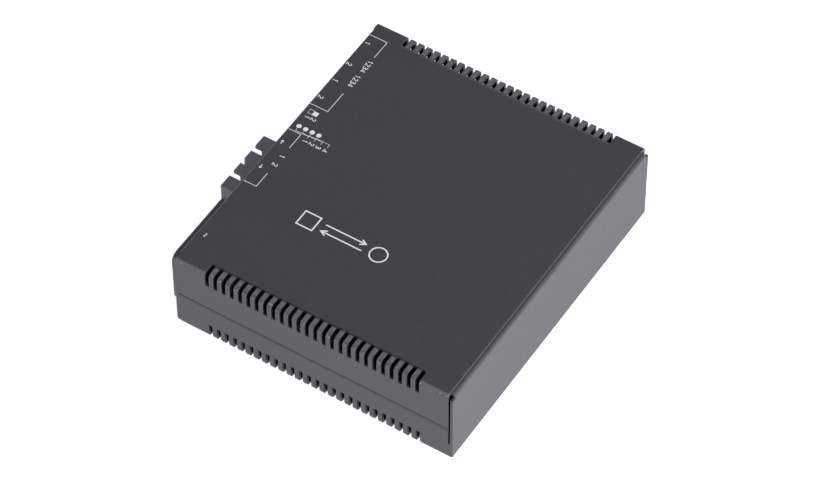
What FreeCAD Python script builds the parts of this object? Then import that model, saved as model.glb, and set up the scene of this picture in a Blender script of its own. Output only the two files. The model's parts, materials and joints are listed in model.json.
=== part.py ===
"""Fibre media converter: a small folded-sheet case with slotted long edges.

The frame's origin lies on the supporting surface under the middle of the whole object. +Z is
up, -Y is the connector face, and +X is the side of the mains inlet. Lengths are in millimetres.
"""
import FreeCAD, Part
import math
import os
import re

import Sketcher
from FreeCAD import Placement, Rotation, Vector

SIZES = {
    # Case: a tray with four walls under a U-shaped cover that laps outside its long sides.
    "case_width": 121.0,
    "case_length": 105.5,
    "case_height": 33.1,
    "gauge": 1.0,
    "foot_height": 2.8,
    "cover_play": 0.1,
    "cover_bend": 1.4,
    "cover_drop": 16.8,
    "cover_front_gap": 0.65,
    "cover_rear_gap": 1.6,
    "lip_setback": 0.55,
    "lip_half": 57.3,
    "tray_inset": 0.5,
    "tray_bend": 2.0,
    "tray_side": 21.3,
    "joggle_start": 13.3,
    "joggle_ease": 1.1,
    "joggle_lean": 0.08,
    "joggle_rise": 2.0,
    "hem_bend": 1.1,
    "hem_depth": 6.0,
    "hem_relief": 1.5,
    "relief_depth": 1.6,
    "corner_slit": 0.75,
    "corner_closed": 7.7,
    # Ventilation slots, wrapped round all four long edges.
    "slot_width": 1.5,
    "slot_pitch": 3.175,
    "slot_count": 26,
    "slot_reach": 4.6,
    "slot_drop": 5.9,
    "slot_middle": 0.17,
    "far_slot_reach": 4.9,
    "far_slot_drop": 7.0,
    "tray_slot_drop": 6.3,
    "tray_slot_middle": 0.07,
    # Feet, cover posts and board fixings. Small round parts that repeat are many-sided bars.
    "bar_sides": 8,
    "can_sides": 16,
    "foot_sides": 24,
    "foot_across": 44.0,
    "foot_along": 38.0,
    "foot_radius": 6.0,
    "post_across": 52.0,
    "post_front": -10.0,
    "post_rear": 43.2,
    "post_radius": 2.85,
    "post_clearance": 3.7,
    "spacer_radius": 2.7,
    "thread_radius": 1.5,
    "shank_radius": 1.4,
    "screw_hole": 1.8,
    "head_radius": 2.75,
    "head_height": 1.6,
    "shank_length": 6.0,
    # Circuit boards: the signal board and, lower down, the supply board.
    "board_gauge": 1.6,
    "board_gap": 0.55,
    "board_rear": 40.0,
    "signal_left": -57.0,
    "signal_right": 24.0,
    "supply_left": 18.0,
    "supply_right": 57.5,
    "header_pin": 0.64,
    "header_pitch": 2.54,
    # Data jacks.
    "jack_left": -44.9,
    "jack_right": -26.6,
    "jack_width": 15.9,
    "jack_height": 13.4,
    "jack_depth": 21.0,
    "jack_proud": 0.5,
    "jack_tin": 0.4,
    "jack_gap": 0.2,
    "plug_width": 11.9,
    "plug_height": 6.8,
    "plug_floor": 1.6,
    "plug_depth": 13.0,
    "latch_width": 6.2,
    "latch_rise": 1.7,
    "catch_width": 4.0,
    "catch_rise": 1.3,
    "lens_width": 3.2,
    "lens_height": 2.4,
    "lens_depth": 3.0,
    "lens_inset": 0.4,
    "wire_width": 0.45,
    "wire_gauge": 0.35,
    "wire_start": 2.0,
    "wire_rise": 3.6,
    "wire_reach": 10.6,
    "wire_pitch": 1.02,
    "wire_count": 8,
    # Mode switch.
    "switch_at": -14.5,
    "switch_gap": 0.05,
    "switch_wall": 1.5,
    "switch_width": 5.0,
    "switch_depth": 6.5,
    "switch_height": 10.0,
    "stem_width": 2.0,
    "stem_height": 2.4,
    "stem_floor": 3.6,
    "stem_proud": 1.6,
    "stem_play": 0.1,
    "shoe_width": 3.2,
    "shoe_height": 4.0,
    "shoe_depth": 2.2,
    "slide_travel": 2.0,
    # Status lights, four high.
    "light_at": -7.6,
    "light_pitch": 4.3,
    "light_first": 2.74,
    "light_radius": 1.5,
    "light_rim": 1.9,
    "light_bore": 1.6,
    "light_hole": 1.7,
    "light_gap": 1.05,
    "light_flange": 0.9,
    "light_proud": 0.7,
    "light_width": 5.0,
    "light_depth": 7.2,
    "light_height": 17.9,
    # Fibre transceiver.
    "fibre_at": 8.25,
    "fibre_width": 25.4,
    "fibre_depth": 39.6,
    "nose_reach": 8.55,
    "nose_drop": 9.24,
    "nose_height": 10.0,
    "nose_lift": 1.2,
    "nose_gap": 0.2,
    "port_pitch": 12.7,
    "port_width": 9.2,
    "port_height": 7.6,
    "port_floor": 1.1,
    "port_depth": 12.0,
    "keyway_width": 2.4,
    "keyway_length": 6.0,
    "dent_width": 2.2,
    "dent_depth": 1.5,
    "sleeve_radius": 1.6,
    "sleeve_bore": 1.26,
    "sleeve_length": 6.0,
    "pin_width": 0.6,
    "pin_pitch": 2.54,
    "pin_inset": 1.5,
    "stud_radius": 1.2,
    "stud_across": 10.16,
    "stud_along": 33.0,
    # Mains inlet.
    "inlet_at": 40.6,
    "inlet_width": 31.2,
    "inlet_height": 22.4,
    "inlet_drop": 6.1,
    "inlet_reach": 3.6,
    "inlet_corner": 3.0,
    "inlet_rim": 1.1,
    "inlet_side_rim": 1.9,
    "inlet_gap": 0.2,
    "inlet_depth": 27.6,
    "socket_width": 24.2,
    "socket_height": 16.4,
    "socket_bevel": 4.5,
    "socket_depth": 17.5,
    "blade_width": 2.0,
    "blade_height": 4.0,
    "blade_length": 16.0,
    "blade_across": 7.0,
    "blade_offset": 2.0,
}

# What stands on the boards: where its middle is across and along, then its width, length, height.
LAYOUT = {
    "header": (21.0, 6.0, 5.0, 13.0, 2.5),
    "fuse_clip_1": (30.5, -22.0, 7.0, 3.0, 6.0),
    "fuse_clip_2": (30.5, -6.0, 7.0, 3.0, 6.0),
    "choke": (41.5, -18.0, 13.0, 5.0, 12.0),
    "filter": (39.8, 0.0, 8.5, 18.0, 15.0),
    "rectifier": (29.8, 7.5, 3.6, 15.0, 11.0),
    "reservoir": (50.8, 5.0, 12.5, 12.5, 19.0),
    "core": (40.0, 22.0, 20.0, 12.0, 16.0),
    "winding": (40.0, 22.0, 14.0, 18.0, 9.0),
    "sink_plate": (55.25, 22.0, 1.5, 20.0, 20.0),
    "sink_fin": (56.6, 22.0, 1.2, 1.5, 20.0),
    "transistor": (53.0, 22.0, 3.0, 10.0, 14.0),
    "leg": (53.0, 22.0, 0.6, 0.8, 4.0),
    "output_can_1": (36.0, 35.5, 7.8, 7.8, 12.0),
    "output_can_2": (46.0, 35.5, 7.8, 7.8, 12.0),
    "converter": (-20.0, -8.0, 20.0, 20.0, 1.8),
    "chip_sink": (-20.0, -8.0, 18.0, 18.0, 2.0),
    "chip_fin": (-20.0, -8.0, 1.2, 18.0, 6.0),
    "interface_1": (-1.0, 5.0, 14.0, 14.0, 1.4),
    "interface_2": (-40.0, 8.0, 14.0, 14.0, 1.4),
    "line_1": (-42.5, -25.0, 12.7, 9.5, 6.0),
    "line_2": (-27.0, -25.0, 12.7, 9.5, 6.0),
    "crystal": (-20.0, 14.0, 11.0, 4.6, 3.6),
    "can_1": (-3.0, -12.0, 6.2, 6.6, 7.7),
    "can_2": (8.0, 22.0, 6.2, 6.6, 7.7),
    "can_3": (-10.0, 30.0, 6.2, 6.6, 7.7),
}
SPOT = ("x", "y", "width", "length", "height")
SIZES |= {f"{name}_{word}": size for name, row in LAYOUT.items() for word, size in zip(SPOT, row)}
SIZES |= {
    "fuse_radius": 2.6,
    "fuse_length": 20.0,
    "fuse_rise": 3.6,
    "winding_rise": 3.5,
    "core_window": 4.2,
    "core_leg": 5.6,
    "sink_fin_pitch": 5.7,
    "leg_pitch": 2.54,
    "chip_fin_pitch": 3.28,
    "can_base": 1.0,
}

SHEET = "Sizes"
SMOOTH_FOLD, SMALL_FOLD = 4, 3
BOTTOM = "foot_height"
FLOOR = "(foot_height + gauge)"
TOP = "(foot_height + case_height)"
CEILING = "(foot_height + case_height - gauge)"
SIDE = "(case_width / 2)"
TRAY_SIDE = "(case_width / 2 - tray_inset)"
LAP_SIDE = "(case_width / 2 - gauge - cover_play)"
WALL = "(case_length / 2)"
INNER_WALL = "(case_length / 2 - gauge)"
NOSE = "(foot_height + case_height - nose_drop - nose_height)"
SIGNAL = "(foot_height + case_height - nose_drop - nose_height - nose_lift)"
SUPPLY = "(foot_height + case_height - inlet_drop - inlet_height + inlet_rim)"
INLET = "(foot_height + case_height - inlet_drop - inlet_height / 2)"
CASE_MIDDLE = "nose_reach / 2"
ROW_START = "(slot_middle - (slot_count - 1) * slot_pitch / 2)"
TRAY_ROW_START = "(tray_slot_middle - (slot_count - 1) * slot_pitch / 2)"
SWITCH_FRONT = "(gauge + switch_gap - case_length / 2)"
LIGHT_FRONT = "(gauge + light_gap - case_length / 2)"

POSTS = [(side + "post_across", along) for side in ("-", "") for along in ("post_front", "post_rear")]
SIGNAL_SCREWS = [("-53.5", "-27"), ("14", "-14"), ("-53.5", "36"), ("14", "36")]
SUPPLY_SCREWS = [("22", "-20"), ("52.5", "-23"), ("22", "36"), ("54", "36")]
QUARTER_TURN = {"y": Rotation(Vector(1, 0, 0), -90), "z": Rotation()}

doc = FreeCAD.newDocument("MediaConverter")
finished = []


def size_sheet():
    """Write the driving sizes into the document's spreadsheet, one aliased cell each."""
    sheet = doc.addObject("Spreadsheet::Sheet", SHEET)
    for row, (alias, size) in enumerate(SIZES.items(), 1):
        sheet.set(f"A{row}", alias)
        sheet.set(f"B{row}", str(size))
        sheet.setAlias(f"B{row}", alias)
    doc.recompute()


def sized(formula):
    """Point each size named in a formula at its cell in the spreadsheet."""
    return re.sub(r"[a-z][a-z_0-9]*",
                  lambda word: f"{SHEET}.{word[0]}" if word[0] in SIZES else word[0], formula)


def bind(thing, **formulas):
    """Tie properties of an object to formulas of named sizes; a double underscore is a dot."""
    for name, formula in formulas.items():
        thing.setExpression(name.replace("__", "."), sized(formula))


def place(thing, x="0", y="0", z="0"):
    """Bind where an object stands."""
    bind(thing, Placement__Base__x=x, Placement__Base__y=y, Placement__Base__z=z)
    return thing


def keep(thing, label, x="0", y="0", z="0"):
    """Name a finished sub-part and stand it in the frame, at a point counted from the case's middle."""
    if thing.isDerivedFrom("Part::Primitive"):
        thing = grouped([thing])
    thing.Label = label
    finished.append(thing)
    return place(thing, x, f"{y} + {CASE_MIDDLE}", z)


# Sketched bodies ---------------------------------------------------------------------------

def new_body(label, **spot):
    """Start the body of one sub-part."""
    return keep(doc.addObject("PartDesign::Body", "Body"), label, **spot)


def origin_feature(body, role):
    """One of the body's own origin planes or axes."""
    return next(feature for feature in body.Origin.OriginFeatures if feature.Role == role)


def rectangle(left, right, low, high):
    """Corner points of an upright rectangle."""
    return [(left, low), (right, low), (right, high), (left, high)]


def round_loop(x, y, radius, sides=8):
    """Corner points of a small round hole, drawn as an even-sided polygon."""
    turns = [2 * math.pi * (n + 0.5) / sides for n in range(sides)]
    return [(f"{x} + {radius} * {math.cos(turn):.5f}", f"{y} + {radius} * {math.sin(turn):.5f}")
            for turn in turns]


def fold(across, up, radius, start, steps):
    """Points on a quarter turn of a folded sheet about a centre, from a start angle in degrees."""
    turns = [math.radians(start + 90 * n / steps) for n in range(steps + 1)]
    return [(f"{across} + {radius} * {math.cos(turn):.5f}", f"{up} + {radius} * {math.sin(turn):.5f}")
            for turn in turns]


def mirrored(loop):
    """The same loop on the other side of the sketch's upright axis."""
    return [(f"-({across})", up) for across, up in reversed(loop)]


def polygon_loop(sketch, points):
    """Closed run of lines through points whose coordinates are formulas."""
    count = len(points)
    start = [Vector(math.cos(2 * math.pi * n / count), math.sin(2 * math.pi * n / count), 0)
             for n in range(count)]
    first = sketch.GeometryCount
    for n in range(count):
        sketch.addGeometry(Part.LineSegment(start[n], start[(n + 1) % count]), False)
    for n, (across, up) in enumerate(points):
        edge = first + n
        sketch.addConstraint(Sketcher.Constraint("Coincident", edge, 2, first + (n + 1) % count, 1))
        for kind, at, formula in (("DistanceX", start[n].x, across), ("DistanceY", start[n].y, up)):
            index = sketch.addConstraint(Sketcher.Constraint(kind, -1, 1, edge, 1, at))
            sketch.setExpression(f"Constraints[{index}]", sized(formula))


def draw(body, plane, level, loops):
    """Sketch of loops on the body's XY, XZ or YZ plane, moved to a level along X, Y or Z."""
    sketch = body.newObject("Sketcher::SketchObject", "Sketch")
    sketch.AttachmentSupport = [(origin_feature(body, plane + "_Plane"), "")]
    sketch.MapMode = "FlatFace"
    offset = f"-({level})" if plane == "XZ" else level
    sketch.setExpression("AttachmentOffset.Base.z", sized(offset))
    for loop in loops:
        polygon_loop(sketch, loop)
    return sketch


def extrude(kind, body, plane, level, length, towards, loops):
    """Pad or pocket of a sketch: towards is 1 or -1 along the axis, or 0 for both ways."""
    sketch = draw(body, plane, level, loops)
    feature = body.newObject("PartDesign::" + kind, kind)
    feature.Profile = sketch
    bind(feature, Length=length)
    own_way = -1 if (plane == "XZ") != (kind == "Pocket") else 1
    if towards == 0:
        feature.SideType = "Symmetric"
    else:
        feature.Reversed = towards != own_way
    return feature


def pad(body, plane, level, length, towards, *loops):
    """Add a sketch's prism to the body."""
    return extrude("Pad", body, plane, level, length, towards, loops)


def pocket(body, plane, level, length, towards, *loops):
    """Cut a sketch's prism from the body."""
    return extrude("Pocket", body, plane, level, length, towards, loops)


def row_of(body, feature, axis, pitch, count):
    """Repeat a feature in a straight row along one of the body's axes."""
    pattern = body.newObject("PartDesign::LinearPattern", "Row")
    pattern.Originals = [feature]
    pattern.Direction = (origin_feature(body, axis + "_Axis"), [""])
    pattern.Mode = "Spacing"
    bind(pattern, Offset=pitch, Occurrences=count)
    body.Tip = pattern
    return pattern


def soften(body, radius, chosen, axis):
    """Round the edges that run along one axis and whose end points pass a test."""
    doc.recompute()
    base = body.Tip
    edges = [f"Edge{n}" for n, edge in enumerate(base.Shape.Edges, 1)
             if all(chosen(vertex.Point) for vertex in edge.Vertexes)
             and near(getattr(edge.BoundBox, axis + "Length"), edge.Length)]
    feature = body.newObject("PartDesign::Fillet", "Fillet")
    feature.Base = (base, edges)
    bind(feature, Radius=radius)
    return feature


def near(value, target):
    """Whether two lengths are the same to a hair."""
    return abs(value - target) < 1e-4


# Primitive solids ----------------------------------------------------------------------------

def box(across, along, up):
    """Box between a low and a high formula on each axis."""
    solid = doc.addObject("Part::Box", "Box")
    for name, (low, high) in zip(("Length", "Width", "Height"), (across, along, up)):
        solid.setExpression(name, sized(f"({high}) - ({low})"))
    return place(solid, across[0], along[0], up[0])


def block(x, y, base, width, length, height):
    """Box standing on a level, centred on a point."""
    return box((f"{x} - {width} / 2", f"{x} + {width} / 2"), (f"{y} - {length} / 2", f"{y} + {length} / 2"),
               (base, f"{base} + {height}"))


def standing(name, level):
    """Box of a part in the layout table, standing on a level."""
    return block(*[f"{name}_{word}" for word in ("x", "y")], level,
                 *[f"{name}_{word}" for word in ("width", "length", "height")])


def bar(x, y, z, radius, length, sides="bar_sides", axis="z"):
    """Round or hexagon bar of so many sides, which runs from a point along an axis."""
    solid = doc.addObject("Part::Prism", "Bar")
    solid.Placement = Placement(Vector(), QUARTER_TURN[axis])
    bind(solid, Polygon=sides, Circumradius=radius, Height=length)
    return place(solid, x, y, z)


def joined(*solids):
    """One solid made of several that touch or overlap."""
    union = doc.addObject("Part::MultiFuse", "Joined")
    union.Shapes = list(solids)
    return union


def grouped(solids):
    """Several like solids in one sub-part."""
    group = doc.addObject("Part::Compound", "Grouped")
    group.Links = solids
    return group


def without(solid, *tools):
    """A solid less the space of one or more others."""
    result = doc.addObject("Part::Cut", "Without")
    result.Base = solid
    result.Tool = tools[0] if len(tools) == 1 else joined(*tools)
    return result


# Folded case ---------------------------------------------------------------------------------

def top_cover():
    """U-shaped cover with a row of slots wrapped round each of its two bends."""
    body = new_body("top_cover")
    inside = f"({SIDE} - gauge)"
    low = f"({TOP} - cover_drop)"
    inner_fold = fold(f"({SIDE} - cover_bend)", f"({TOP} - cover_bend)", "(cover_bend - gauge)",
                      0, SMALL_FOLD)
    half = [(SIDE, TOP), (SIDE, low), (inside, low), *inner_fold]
    rear = f"({WALL} - cover_rear_gap)"
    pad(body, "XZ", rear, "case_length - cover_front_gap - cover_rear_gap", -1, half + mirrored(half))

    top = SIZES["foot_height"] + SIZES["case_height"]
    side = SIZES["case_width"] / 2
    soften(body, "cover_bend", lambda p: near(abs(p.x), side) and near(p.z, top), "Y")

    front = f"-({WALL} - cover_front_gap)"
    pocket(body, "XY", TOP, "2 * gauge", -1,
           rectangle("-lip_half", "lip_half", front, f"{front} + lip_setback"))
    slot = rectangle(f"{SIDE} - slot_reach", f"{SIDE} + gauge", f"{TOP} - slot_drop", f"{TOP} + gauge")
    far_slot = rectangle(f"-({SIDE} + gauge)", f"far_slot_reach - {SIDE}",
                         f"{TOP} - far_slot_drop", f"{TOP} + gauge")
    row_of(body, pocket(body, "XZ", ROW_START, "slot_width", 0, slot, far_slot),
           "Y", "slot_pitch", "slot_count")


def chassis_tray():
    """Tray with full-width hemmed end walls, low slotted sides and the connector openings."""
    body = new_body("chassis_tray")
    hem_start = f"({CEILING} - hem_bend)"
    inner_side = f"({TRAY_SIDE} - gauge)"
    pad(body, "XY", BOTTOM, f"{hem_start} - {BOTTOM}", 1,
        rectangle("-" + TRAY_SIDE, TRAY_SIDE, "-" + WALL, WALL))
    fold_level = f"({BOTTOM} + tray_bend)"
    for plane, reach in (("XZ", TRAY_SIDE), ("YZ", WALL)):
        outside = fold(f"({reach} - tray_bend)", fold_level, "tray_bend", -90, SMOOTH_FOLD)
        corner = [*outside, (f"{reach} + gauge", fold_level), (f"{reach} + gauge", f"{BOTTOM} - gauge"),
                  (f"{reach} - tray_bend", f"{BOTTOM} - gauge")]
        pocket(body, plane, "0", "2 * case_width", 0, corner, mirrored(corner))
    pocket(body, "XY", hem_start, f"{hem_start} - {FLOOR}", -1,
           rectangle("-" + inner_side, inner_side, "-" + INNER_WALL, INNER_WALL))
    for plane, reach, length in (("XZ", TRAY_SIDE, INNER_WALL), ("YZ", WALL, inner_side)):
        inside = fold(f"({reach} - tray_bend)", fold_level, "(tray_bend - gauge)", -90, SMALL_FOLD)
        within, above = f"{reach} - gauge / 2", f"{BOTTOM} + gauge / 2"
        corner = [*inside, (within, fold_level), (within, above), (f"{reach} - tray_bend", above)]
        pad(body, plane, "0", f"2 * {length}", 0, corner, mirrored(corner))

    joggle = f"({BOTTOM} + joggle_start)"
    pocket(body, "YZ", "0", "case_width", 0, rectangle("-" + INNER_WALL, INNER_WALL, joggle, TOP))
    eased, upper, rim = f"{joggle} + joggle_ease", f"({joggle} + joggle_rise)", f"({BOTTOM} + tray_side)"
    lap = [(inner_side, joggle), (TRAY_SIDE, joggle), (f"{TRAY_SIDE} - joggle_lean", eased),
           (LAP_SIDE, upper), (LAP_SIDE, rim), (f"{LAP_SIDE} - gauge", rim),
           (f"{LAP_SIDE} - gauge", upper), (f"{inner_side} - joggle_lean", eased)]
    pad(body, "XZ", f"{INNER_WALL} - corner_slit", f"2 * {INNER_WALL} - corner_slit", -1,
        lap, mirrored(lap))
    pocket(body, "YZ", "0", "case_width", 0,
           rectangle(f"{INNER_WALL} - corner_slit", INNER_WALL, f"{BOTTOM} + corner_closed", TOP))
    hems(body, hem_start)

    pocket(body, "XY", f"{FLOOR} + gauge", "3 * gauge", -1,
           *[round_loop(x, y, "screw_hole") for x, y in POSTS])
    connector_openings(body)
    slot = rectangle(f"{TRAY_SIDE} - slot_reach", f"{SIDE} + gauge",
                     f"{BOTTOM} - gauge", f"{BOTTOM} + tray_slot_drop")
    row_of(body, pocket(body, "XZ", TRAY_ROW_START, "slot_width", 0, slot, mirrored(slot)),
           "Y", "slot_pitch", "slot_count")


def hems(body, hem_start):
    """Inward hems along the tops of the tray's end walls, with a relief notch at each corner."""
    relief = rectangle(f"{TRAY_SIDE} - hem_relief", f"{SIDE} + gauge", f"{CEILING} - relief_depth", TOP)
    pocket(body, "XZ", "0", "2 * case_length", 0, relief, mirrored(relief))
    hem = [(WALL, hem_start), (WALL, CEILING), (f"{WALL} - hem_depth", CEILING),
           (f"{WALL} - hem_depth", f"{CEILING} - gauge"), (INNER_WALL, f"{CEILING} - gauge"),
           (INNER_WALL, hem_start)]
    pad(body, "YZ", "0", f"2 * ({TRAY_SIDE} - hem_relief)", 0, hem, mirrored(hem))

    wall = SIZES["case_length"] / 2
    ceiling = SIZES["foot_height"] + SIZES["case_height"] - SIZES["gauge"]
    soften(body, "hem_bend", lambda p: near(abs(p.y), wall) and near(p.z, ceiling), "X")


def around(x, width, low, high, gap):
    """Outline of an opening that leaves a gap round what comes through it."""
    return rectangle(f"{x} - {width} / 2 - {gap}", f"{x} + {width} / 2 + {gap}",
                     f"{low} - {gap}", f"{high} + {gap}")


def connector_openings(body):
    """Openings through the tray's front wall, each a little larger than what comes through it."""
    jacks = [around(at, "jack_width", SIGNAL, f"{SIGNAL} + jack_height", "jack_gap")
             for at in ("jack_left", "jack_right")]
    stem_low = f"({SIGNAL} + stem_floor)"
    switch = around("switch_at", "stem_width", stem_low,
                    f"{stem_low} + stem_height + slide_travel", "4 * stem_play")
    nose = around("fibre_at", "fibre_width", NOSE, f"{NOSE} + nose_height", "nose_gap")
    lift = "(inlet_height / 2 - inlet_rim)"
    inlet = around("inlet_at", "(inlet_width - 2 * inlet_side_rim)", f"{INLET} - {lift}", f"{INLET} + {lift}",
                   "inlet_gap")
    lights = [round_loop("light_at", f"{SIGNAL} + light_first + {n} * light_pitch", "light_hole", 12)
              for n in range(4)]
    pocket(body, "XZ", f"-({WALL} + gauge)", "3 * gauge", 1, *jacks, switch, nose, inlet, *lights)


def rubber_feet():
    """Four round stick-on feet."""
    corners = [(across, along) for across in ("-foot_across", "foot_across")
               for along in ("-foot_along", "foot_along")]
    for number, (x, y) in enumerate(corners, 1):
        keep(bar(x, y, "0", "foot_radius", "foot_height", "foot_sides"), f"rubber_foot_{number}")


# Fixings and boards --------------------------------------------------------------------------

def screw(x, y, seat, way, length):
    """Pan-head screw: its head on a seat, its shank pointing up (1) or down (-1)."""
    if way > 0:
        return joined(bar(x, y, f"{seat} - head_height", "head_radius", "head_height"),
                      bar(x, y, seat, "shank_radius", length, "6"))
    return joined(bar(x, y, seat, "head_radius", "head_height"),
                  bar(x, y, f"{seat} - {length}", "shank_radius", length, "6"))


def threaded_post(x, y, low, high, radius, depth):
    """Hexagon bar between two levels, with a threaded hole from one end."""
    return without(bar(x, y, low, radius, f"{high} - {low}", "6"), bar(x, y, low, "thread_radius", depth, "6"))


def cover_fixings():
    """Posts that hang from the cover, and the screws that reach them through the floor."""
    keep(grouped([threaded_post(x, y, FLOOR, CEILING, "post_radius", "2 * shank_length") for x, y in POSTS]),
         "cover_posts")
    keep(grouped([screw(x, y, BOTTOM, 1, "shank_length") for x, y in POSTS]), "cover_screws")


def board(label, left, right, top, holes):
    """Circuit board with round holes for screws and cover posts."""
    body = new_body(label)
    outline = rectangle(left, right, f"board_gap - {INNER_WALL}", "board_rear")
    pad(body, "XY", top, "board_gauge", -1, outline, *holes)


def boards():
    """Signal board and supply board, their welded spacers and screws, and the header between them."""
    left_hole, right_hole = [round_loop(x, y, "post_clearance") for x, y in POSTS if y == "post_front"]
    for label, top, points, hole in (("signal", SIGNAL, SIGNAL_SCREWS, left_hole),
                                     ("supply", SUPPLY, SUPPLY_SCREWS, right_hole)):
        board(label + "_board", label + "_left", label + "_right", top,
              [round_loop(x, y, "screw_hole") for x, y in points] + [hole])
        under = f"({top} - board_gauge)"
        keep(grouped([threaded_post(x, y, FLOOR, under, "spacer_radius", f"{under} - {FLOOR}")
                      for x, y in points]), label + "_board_spacers")
        keep(grouped([screw(x, y, top, -1, "(shank_length / 2 + board_gauge)") for x, y in points]),
             label + "_board_screws")

    low = f"({SUPPLY} + header_height)"
    pins = [block(f"(header_x + {column} * header_pitch / 2)", f"(header_y + {row} * header_pitch)", low,
                  "header_pin", "header_pin", f"({SIGNAL} - board_gauge - {low})")
            for column in (-1, 1) for row in range(-2, 3)]
    keep(joined(standing("header", SUPPLY), *pins), "board_link_header")


# Connectors ----------------------------------------------------------------------------------

def data_jack(side, at):
    """Shielded data jack: folded tin shell, moulded insert, eight spring wires, two lenses."""
    spot = {"x": at, "y": f"-({WALL} + jack_proud)", "z": SIGNAL}
    half = "jack_width / 2"
    inner = f"({half} - jack_tin)"
    shell = new_body(side + "_jack_shell", **spot)
    pad(shell, "XZ", "0", "jack_depth", 1, rectangle("-" + half, half, "0", "jack_height"))
    pocket(shell, "XZ", "0", "jack_depth - jack_tin", 1,
           rectangle("-" + inner, inner, "-jack_tin", "jack_height - jack_tin"))

    insert = new_body(side + "_jack_insert", **spot)
    pad(insert, "XZ", "0", "jack_depth - jack_tin", 1,
        rectangle("-" + inner, inner, "0", "jack_height - jack_tin"))
    plug, latch, catch = "plug_width / 2", "latch_width / 2", "catch_width / 2"
    ledge = "(plug_floor + plug_height)"
    step = f"({ledge} + latch_rise)"
    mouth = [(plug, "plug_floor"), (plug, ledge), (latch, ledge), (latch, step), (catch, step),
             (catch, f"{step} + catch_rise")]
    pocket(insert, "XZ", "0", "plug_depth", 1, mouth + mirrored(mouth))
    lens_outer = f"({inner} - lens_inset)"
    lens_high = "(jack_height - jack_tin - lens_inset)"
    window = rectangle(f"{lens_outer} - lens_width", lens_outer, f"{lens_high} - lens_height", lens_high)
    pocket(insert, "XZ", "0", "lens_depth", 1, window, mirrored(window))
    lenses = new_body(side + "_jack_lenses", **spot)
    pad(lenses, "XZ", "0", "lens_depth", 1, window, mirrored(window))

    wires = new_body(side + "_jack_wires", **spot)
    rest = "(plug_floor + wire_gauge)"
    wire = pad(wires, "YZ", "-(wire_count - 1) * wire_pitch / 2", "wire_width", 0,
               [("plug_depth", "plug_floor"), ("wire_start", "plug_floor"), ("wire_start", rest),
                ("wire_reach", "plug_floor + wire_rise"), ("wire_reach", "plug_floor + wire_rise - wire_gauge"),
                ("wire_start + 4 * wire_gauge", rest), ("plug_depth", rest)])
    row_of(wires, wire, "X", "wire_pitch", "wire_count")


def mode_switch():
    """Two-position slide switch: a moulded box with a chamber, and the slider that moves in it."""
    at = "switch_at"
    chamber_front = f"({SWITCH_FRONT} + switch_wall)"
    shoe_low = f"({SIGNAL} + stem_floor - (shoe_height - stem_height) / 2)"
    stem_low = f"({SIGNAL} + stem_floor)"
    case = box((f"{at} - switch_width / 2", f"{at} + switch_width / 2"),
               (SWITCH_FRONT, f"{SWITCH_FRONT} + switch_depth"), (SIGNAL, f"{SIGNAL} + switch_height"))
    chamber = box((f"{at} - shoe_width / 2 - stem_play", f"{at} + shoe_width / 2 + stem_play"),
                  (chamber_front, f"{chamber_front} + shoe_depth + 2 * stem_play"),
                  (shoe_low, f"{shoe_low} + shoe_height + slide_travel + stem_play"))
    slot = box((f"{at} - stem_width / 2 - stem_play", f"{at} + stem_width / 2 + stem_play"),
               (SWITCH_FRONT, chamber_front),
               (f"{stem_low} - stem_play", f"{stem_low} + stem_height + slide_travel + stem_play"))
    keep(without(case, chamber, slot), "mode_switch_case")

    shoe_front = f"({chamber_front} + stem_play)"
    shoe = box((f"{at} - shoe_width / 2", f"{at} + shoe_width / 2"),
               (shoe_front, f"{shoe_front} + shoe_depth"), (shoe_low, f"{shoe_low} + shoe_height"))
    stem = box((f"{at} - stem_width / 2", f"{at} + stem_width / 2"),
               (f"-({WALL} + stem_proud)", shoe_front), (stem_low, f"{stem_low} + stem_height"))
    keep(joined(shoe, stem), "mode_switch_slider")


def status_lights():
    """Block that holds four lamps one above another behind the front wall."""
    case = block("light_at", f"({LIGHT_FRONT} + light_depth / 2)", SIGNAL, "light_width", "light_depth",
                 "light_height")
    bores = []
    for number in range(1, 5):
        up = f"({SIGNAL} + light_first + {number - 1} * light_pitch)"
        bores.append(bar("light_at", LIGHT_FRONT, up, "light_bore", "light_depth - gauge", "12", "y"))
        front = f"-({WALL} + light_proud)"
        reach = f"{LIGHT_FRONT} + light_depth - 2 * gauge - ({front})"
        barrel = bar("light_at", front, up, "light_radius", reach, "12", "y")
        flange = bar("light_at", f"{LIGHT_FRONT} - light_flange", up, "light_rim", "light_flange", "12", "y")
        keep(joined(barrel, flange), f"status_light_{number}")
    keep(without(case, *bores), "status_light_holder")


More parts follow.
